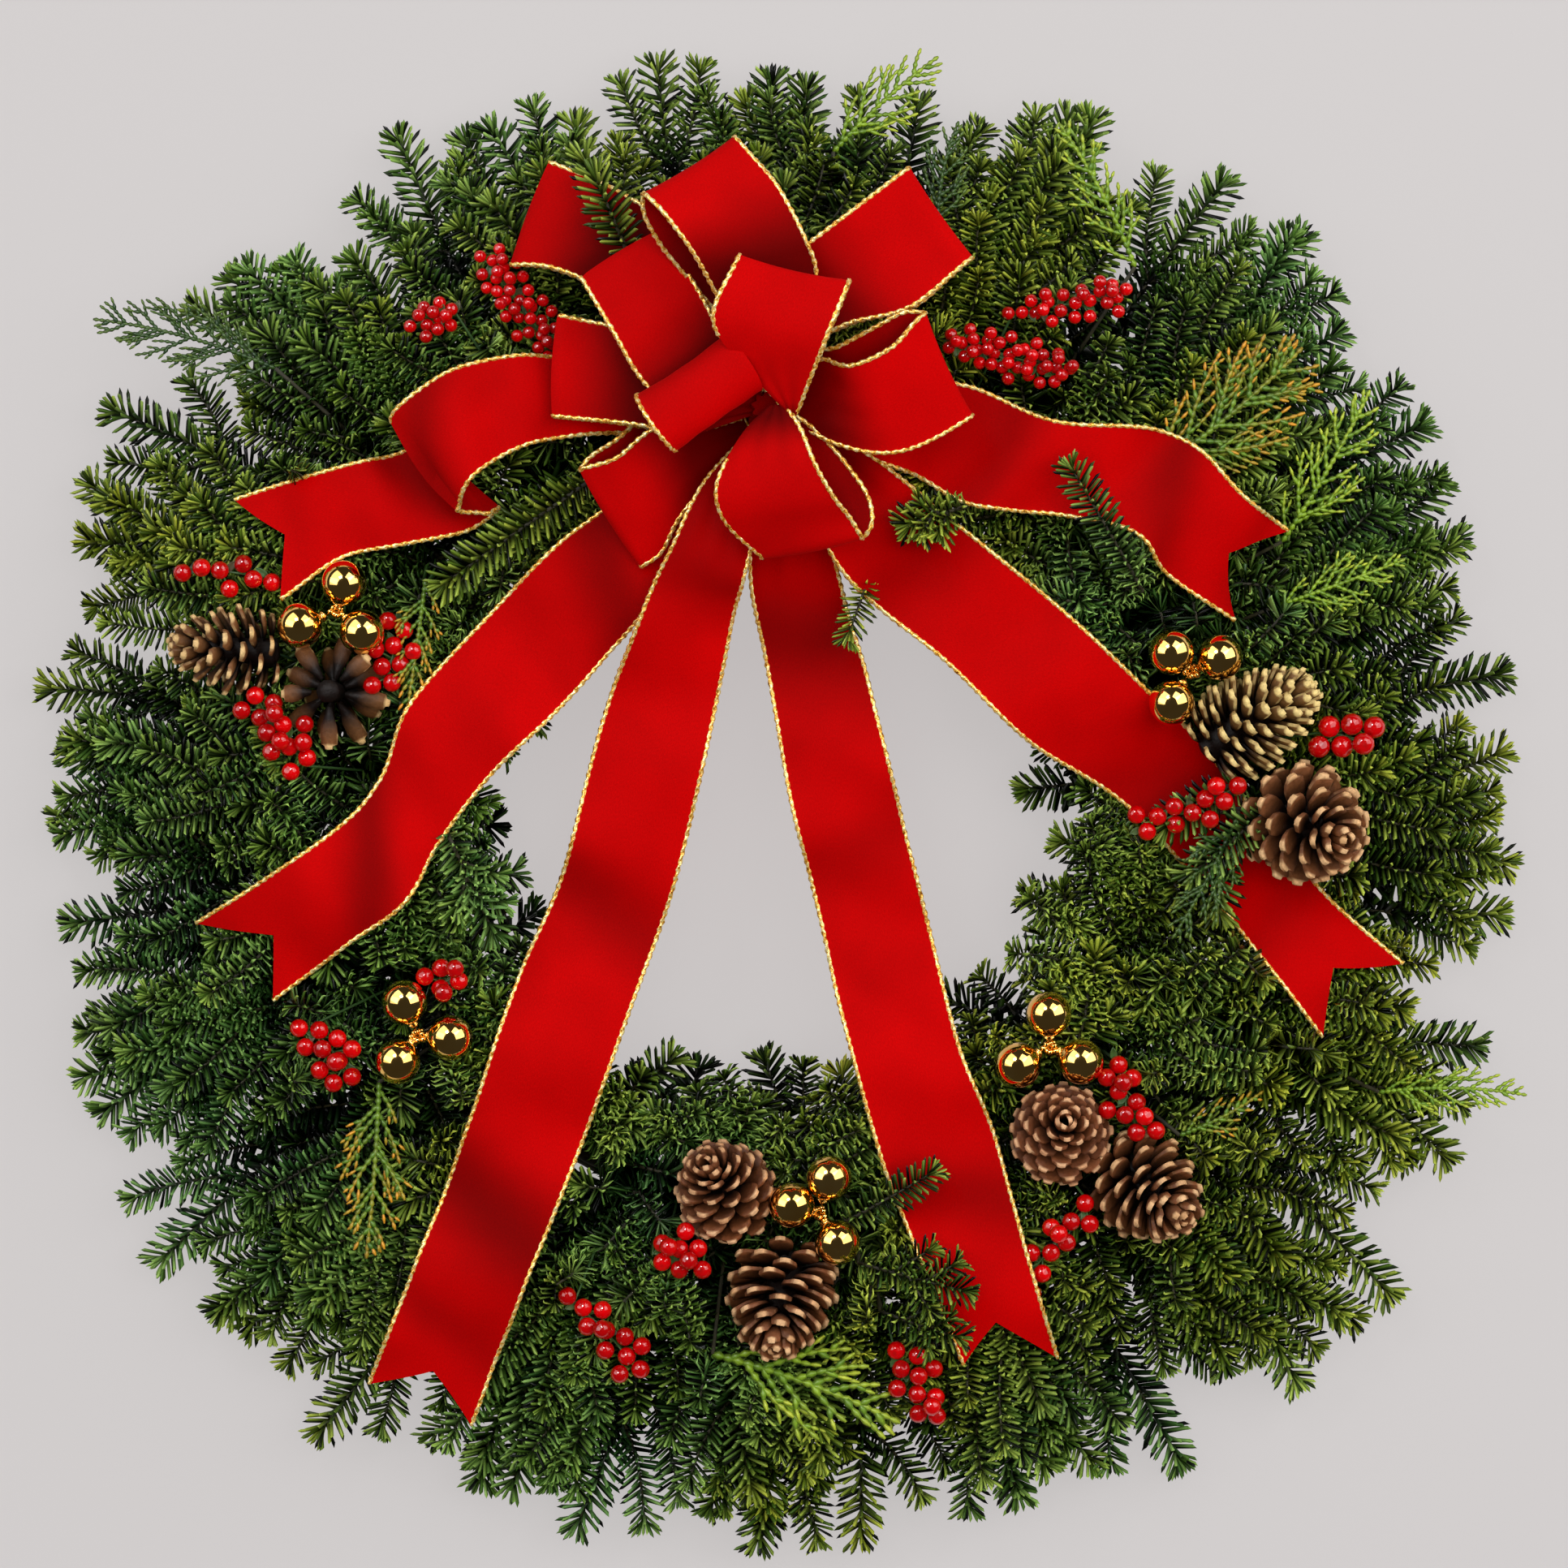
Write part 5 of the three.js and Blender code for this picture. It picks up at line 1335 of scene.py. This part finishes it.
# the sprigs of a bunch: turn from its middle in degrees, radius and height of the tip, bow and lean
layers = [
    {"offset": -8, "reach": 446, "tipZ": 26, "bow": 18, "lean": -5},
    {"offset": -1, "reach": 452, "tipZ": 22, "bow": 24, "lean": 0},
    {"offset": 6.4, "reach": 446, "tipZ": 30, "bow": 18, "lean": 5},
    {"offset": 9.8, "reach": 432, "tipZ": 36, "bow": 22, "lean": -2},
    {"offset": -4.4, "reach": 404, "tipZ": 66, "bow": 26, "lean": -5},
    {"offset": 3, "reach": 346, "tipZ": 92, "bow": 24, "lean": 3},
    {"offset": -6.2, "reach": 164, "tipZ": 26, "bow": 12, "lean": -2},
    {"offset": 4.8, "reach": 186, "tipZ": 78, "bow": 18, "lean": 3},
]
fillLayers = [
    {"offset": 3.8, "reach": 416, "tipZ": 56, "bow": 26, "lean": 4},
    {"offset": -10, "reach": 376, "tipZ": 80, "bow": 28, "lean": -2},
    {"offset": 9, "reach": 388, "tipZ": 76, "bow": 28, "lean": 2},
    {"offset": -2, "reach": 318, "tipZ": 98, "bow": 30, "lean": -4},
    {"offset": 2, "reach": 172, "tipZ": 52, "bow": 22, "lean": 1},
    {"offset": -9, "reach": 200, "tipZ": 88, "bow": 24, "lean": -6},
]
coverLayers = [  # short sprigs that hide the stems: root and tip as (radius, degrees, height)
    {"root": (246, -6, 40), "tip": (292, 8, 94)},
    {"root": (238, 5, 44), "tip": (236, 24, 92)},
    {"root": (232, -2, 46), "tip": (214, 12, 90)},
    {"root": (250, 9, 42), "tip": (322, 16, 90)},
    {"root": (244, -4, 46), "tip": (252, -20, 94)},
    {"root": (228, 6, 44), "tip": (206, -8, 86)},
]
outline = {"square": 11, "jitter": 12, "reach": 450}
sprig = {
    "sway": 4.5, "inwardSway": 1.8, "heightVary": 5, "lift": 3, "rootShift": 4, "half": 0.5, "halfTurn": 0.35,
    "halfHeight": 0.6, "rows": 16, "margin": 12.0, "bare": 0.12, "sideRows": 9, "sideMargin": 10.0,
}
cover = {"reachVary": 8, "turnVary": 5, "heightVary": 5, "bow": 22, "first": 20}


def outerReach(reach, degrees):
    squareness = outline["square"] * math.cos(4 * math.radians(degrees - 45))
    return reach + (squareness * reach / outline["reach"] if reach > bunch["stemRing"] else 0)


def sprigControls(layer, sector, index):
    seed = sector * 31 + index * 7
    root = (sector + 0.5) * 360 / bunch["count"] + layer["offset"]
    sway = layer["lean"] + draw(seed) * sprig["sway"]
    inward = layer["reach"] < bunch["stemRing"]
    tip = root + sway * (sprig["inwardSway"] if inward else 1)
    reach = outerReach(layer["reach"], tip) + draw(seed + 1) * outline["jitter"]
    tipZ = layer["tipZ"] + draw(seed + 2) * sprig["heightVary"] + sprig["lift"]
    start = polar(bunch["stemRing"] + sprig["rootShift"] * (-1 if inward else 1), root, stemMiddle + 1)
    halfZ = mix(stemMiddle, tipZ, sprig["halfHeight"]) + layer["bow"]
    half = polar(mix(bunch["stemRing"], reach, sprig["half"]), mix(root, tip, sprig["halfTurn"]), halfZ)
    return start, half, polar(reach, tip, tipZ)


sideShoot = {
    "angle": 40, "turn": 14, "length": 92, "taper": 0.45, "vary": 0.2, "most": 0.55, "first": 0.22,
    "last": 0.84, "spacing": 32, "size": 0.86, "leaveOut": -0.6, "lift": 0.08, "lowest": 12,
}
overShoot = {"rise": 9, "rows": 14, "tone": 0.6, "sides": ((4, 1), (6, -1), (8, 1)), "sideTone": 0.66,
             "sideSize": 0.9, "sideRows": 8}
overSprigs = [  # shoots that lie over a tail or stand in a gap of the bow, from root to tip
    {"root": (216, 128, 122), "tip": (173, 199, 142), "side": 0, "young": 0.2, "size": 0.84},
    {"root": (40, -247, 108), "tip": (92, -216, 128), "side": 0, "young": 0.0, "tone": 0.56, "size": 0.8},
    {"root": (49, -271, 108), "tip": (112, -286, 128), "side": 30, "young": 0.0, "tone": 0.5, "size": 0.8},
    {"root": (62, -300, 104), "tip": (108, -314, 124), "side": 20, "young": 0.0, "tone": 0.5, "size": 0.8},
    {"root": (-86, 322, 150), "tip": (-106, 368, 158), "side": 0, "young": 0.3},
    {"root": (112, 177, 126), "tip": (78, 166, 140), "side": 16, "young": 0.2},
    {"root": (-112, 192, 110), "tip": (-196, 132, 118), "side": 0, "young": 0.75},
    {"root": (-196, -14, 108), "tip": (-168, -74, 114), "side": 24, "young": 0.1},
    {"root": (54, 134, 122), "tip": (42, 100, 130), "side": 0, "young": 1.0, "size": 0.72},
    {"root": (292, -2, 104), "tip": (246, -40, 110), "side": 0, "young": 0.0},
    {"root": (278, 12, 100), "tip": (232, -10, 106), "side": 0, "young": 0.1},
    {"root": (262, -22, 96), "tip": (262, -62, 102), "side": 0, "young": 0.1},
]


def coverControls(layer, sector, index):
    middle = (sector + 0.5) * 360 / bunch["count"]
    seed = sector * 17 + index * 5
    (rootR, rootTurn, rootZ), (tipR, tipTurn, tipZ) = layer["root"], layer["tip"]
    start = polar(rootR, middle + rootTurn, rootZ)
    reach = tipR + cover["reachVary"] * draw(seed)
    turn = middle + tipTurn + cover["turnVary"] * draw(seed + 1)
    end = polar(reach, turn, tipZ + cover["heightVary"] * draw(seed + 2))
    return start, (start + end) / 2 + np.array((0, 0, cover["bow"])), end


def growSprig(heap, controls, sector, index):
    path = under(curvePoints(controls, sprig["rows"]), sprig["margin"])
    path[1:-1, 2] = (path[:-2, 2] + path[1:-1, 2] * 2 + path[2:, 2]) / 4
    along, side, top = framesAlong(path)
    length = distancesAlong(path)[-1]
    seed = sector * 131 + index * 17 + 5
    tone = 0.57 + 0.14 * draw(seed)
    young = max(0, 0.25 + 0.35 * draw(seed + 3))
    bare = int(len(path) * sprig["bare"])
    growShoot(heap, path[bare:], seed, young, tone)
    pairs = max(1, int(length * (sideShoot["last"] - sideShoot["first"]) / sideShoot["spacing"]))
    for k in range(pairs):
        t = mix(sideShoot["first"], sideShoot["last"], (k + 0.3) / pairs)
        i = int(t * (len(path) - 1))
        for hand in (-1, 1):
            if draw(seed + 11 * k + hand) < sideShoot["leaveOut"]:
                continue
            angle = math.radians(sideShoot["angle"] + sideShoot["turn"] * draw(seed + 7 * k + hand))
            away = along[i] * math.cos(angle) + side[i] * math.sin(angle) * hand + top[i] * sideShoot["lift"]
            vary = 1 + sideShoot["vary"] * draw(seed + 5 * k + hand)
            reach = sideShoot["length"] * (1 - sideShoot["taper"] * t) * vary
            reach = min(reach, length * sideShoot["most"])
            end = path[i] + unit(away + along[i] * 0.4) * reach
            end[2] = max(end[2], sideShoot["lowest"])
            twig = curvePoints((path[i], path[i] + away * reach * 0.5, end), sprig["sideRows"])
            twig = under(twig, sprig["sideMargin"])
            growShoot(heap, twig, seed + 29 * k + hand + 3, young, tone, sideShoot["size"])


stems = {"count": 7, "radius": 3.3, "sides": 7, "spread": 0.62, "rows": 9, "wobble": 0.6}


def growStems(heap, sector):  # the gathered ends of the bunch, along the ring
    span = 360 / bunch["count"]
    trim = math.degrees(bunch["endGap"] / 2 / bunch["stemRing"])
    outer = stems["count"] - 1  # all but the last lie round the middle one
    for k in range(stems["count"]):
        angle = k * fullTurn / outer
        spread = 0 if k == outer else bunch["stemRadius"] * stems["spread"]
        rise, inOut = spread * math.sin(angle), spread * math.cos(angle)
        turns = np.linspace(sector * span + trim, (sector + 1) * span - trim, stems["rows"])
        path = []
        for j, degrees in enumerate(turns):
            wobble = stems["wobble"] * draw(sector * 9 + k + j)
            path.append(polar(bunch["stemRing"] + inOut + wobble, degrees, stemMiddle + rise))
        heap.addTube(np.array(path), stems["radius"], stems["sides"], 1, tone=0.5, young=0, along=0)


def growOver(heap, spec, number):
    root, tip = np.array(spec["root"], float), np.array(spec["tip"], float)
    size = spec.get("size", 1.0)
    heap.addTube(pickPath(root, root, 4), shoot["twig"], 6, 1, tone=0.5, young=0, along=0)
    path = curvePoints((root, (root + tip) / 2 + (0, 0, overShoot["rise"]), tip), overShoot["rows"])
    along, side, _ = framesAlong(path)
    young, tone = spec["young"], spec.get("tone", overShoot["tone"])
    growShoot(heap, path, 700 + number, young, tone, size, free=True)
    if spec["side"] == 0:
        return
    tone = spec.get("tone", overShoot["sideTone"])
    for k, (at, hand) in enumerate(overShoot["sides"]):
        away = unit(along[at] * 0.8 + side[at] * hand * 0.75)
        end = path[at] + away * spec["side"] * (1.2 - 0.06 * at)
        twig = curvePoints((path[at], (path[at] + end) / 2 + (0, 0, 2), end), overShoot["sideRows"])
        growShoot(heap, twig, 720 + 3 * number + k, young, tone, overShoot["sideSize"] * size, free=True)


def sectorOf(place):
    return int((math.degrees(math.atan2(place[1], place[0])) % 360) / (360 / bunch["count"]))


def makeFir():
    total = 0
    for sector in range(bunch["count"]):
        heap = Heap()
        for index, layer in enumerate(layers + fillLayers):
            growSprig(heap, sprigControls(layer, sector, index), sector, index)
        for index, layer in enumerate(coverLayers):
            growSprig(heap, coverControls(layer, sector, index), sector, cover["first"] + index)
        for number, spec in enumerate(overSprigs):
            if sectorOf(spec["root"]) == sector:
                growOver(heap, spec, number)
        growStems(heap, sector)
        number = f"{sector + 1:02d}"
        thing = heap.build(f"firBunch{number}", [firNeedles, twigBark])
        settle(thing, f"firBunch{number}", [f"fir_bunch_{number}"])
        total += len(thing.data.polygons)
    print("fir bunches made,", total, "triangles")


makeFir()

camera = {"height": 3560, "aimX": 4.4, "aimY": 13.2, "seen": 943.0, "above": 3500, "film": 36}
floorLook = {"size": 12, "under": 0.0006, "colour": (0.15, 0.143, 0.142, 1), "rough": 0.9,
             "glow": (1.0, 0.954, 0.947, 1), "strength": 0.494}
sky = {"strength": 0.15, "lit": (1, 1, 1), "mirrored": (0.25, 0.25, 0.25)}
lamps = [  # name, place, size, power, seen in the shiny pieces, lights the rest
    ("overhead", (0.3, 0.2, 4.6), (3.4, 3.4), 105, False, True),
    ("keyLight", (2.5, 1.0, 2.1), (2.3, 3.4), 62, True, True),
    ("fillLight", (-2.7, 0.5, 2.1), (1.7, 2.6), 20, True, True),
    ("leftPanel", (-1.9, 1.3, 1.9), (3.0, 2.4), 46, True, False),
    ("rightPanel", (1.3, 1.7, 2.2), (1.6, 1.8), 26, True, False),
    ("spark", (-0.9, 1.5, 2.6), (0.55, 0.55), 70, True, False),
]


def makeFloor():
    clearSelection()
    bpy.ops.mesh.primitive_plane_add(size=floorLook["size"], location=(0, 0, -floorLook["under"]))
    floor = bpy.context.object
    floor.name = "studioFloor"
    material, tree, shader = newMaterial("paleFloor")
    setInputs(shader, {"Base Color": floorLook["colour"], "Emission Color": floorLook["glow"],
                       "Emission Strength": floorLook["strength"], "Roughness": floorLook["rough"]})
    floor.data.materials.append(material)


def makeCamera():
    data = bpy.data.cameras.new("photoCamera")
    data.lens = camera["film"] * camera["above"] / camera["seen"]  # sees that width that far below
    data.sensor_width = camera["film"]
    eye = bpy.data.objects.new("photoCamera", data)
    bpy.context.scene.collection.objects.link(eye)
    eye.location = toFrame @ Vector((camera["aimX"], camera["aimY"], camera["height"]))
    bpy.context.scene.camera = eye


def makeSky():  # softer in the shiny pieces
    world = bpy.data.worlds.new("studioWorld")
    bpy.context.scene.world = world
    world.use_nodes = True
    tree = world.node_tree
    background = tree.nodes["Background"]
    path = tree.nodes.new("ShaderNodeLightPath")
    colour = mixIn(tree, "MIX", path.outputs["Is Glossy Ray"], sky["lit"], sky["mirrored"])
    tree.links.new(colour, background.inputs["Color"])
    background.inputs["Strength"].default_value = sky["strength"]


def makeStudio():
    makeFloor()
    makeCamera()
    makeSky()
    for name, place, size, power, mirrored, lighting in lamps:
        light = bpy.data.lights.new(name, "AREA")
        light.shape = "RECTANGLE"
        light.energy = power
        light.size, light.size_y = size
        lamp = bpy.data.objects.new(name, light)
        lamp.location = place
        lamp.rotation_euler = (-Vector(place)).to_track_quat("-Z", "Y").to_euler()
        lamp.visible_glossy = mirrored
        lamp.visible_diffuse = lighting
        bpy.context.scene.collection.objects.link(lamp)
    bpy.context.scene.view_settings.view_transform = "Standard"
    print("studio ready")


makeStudio()
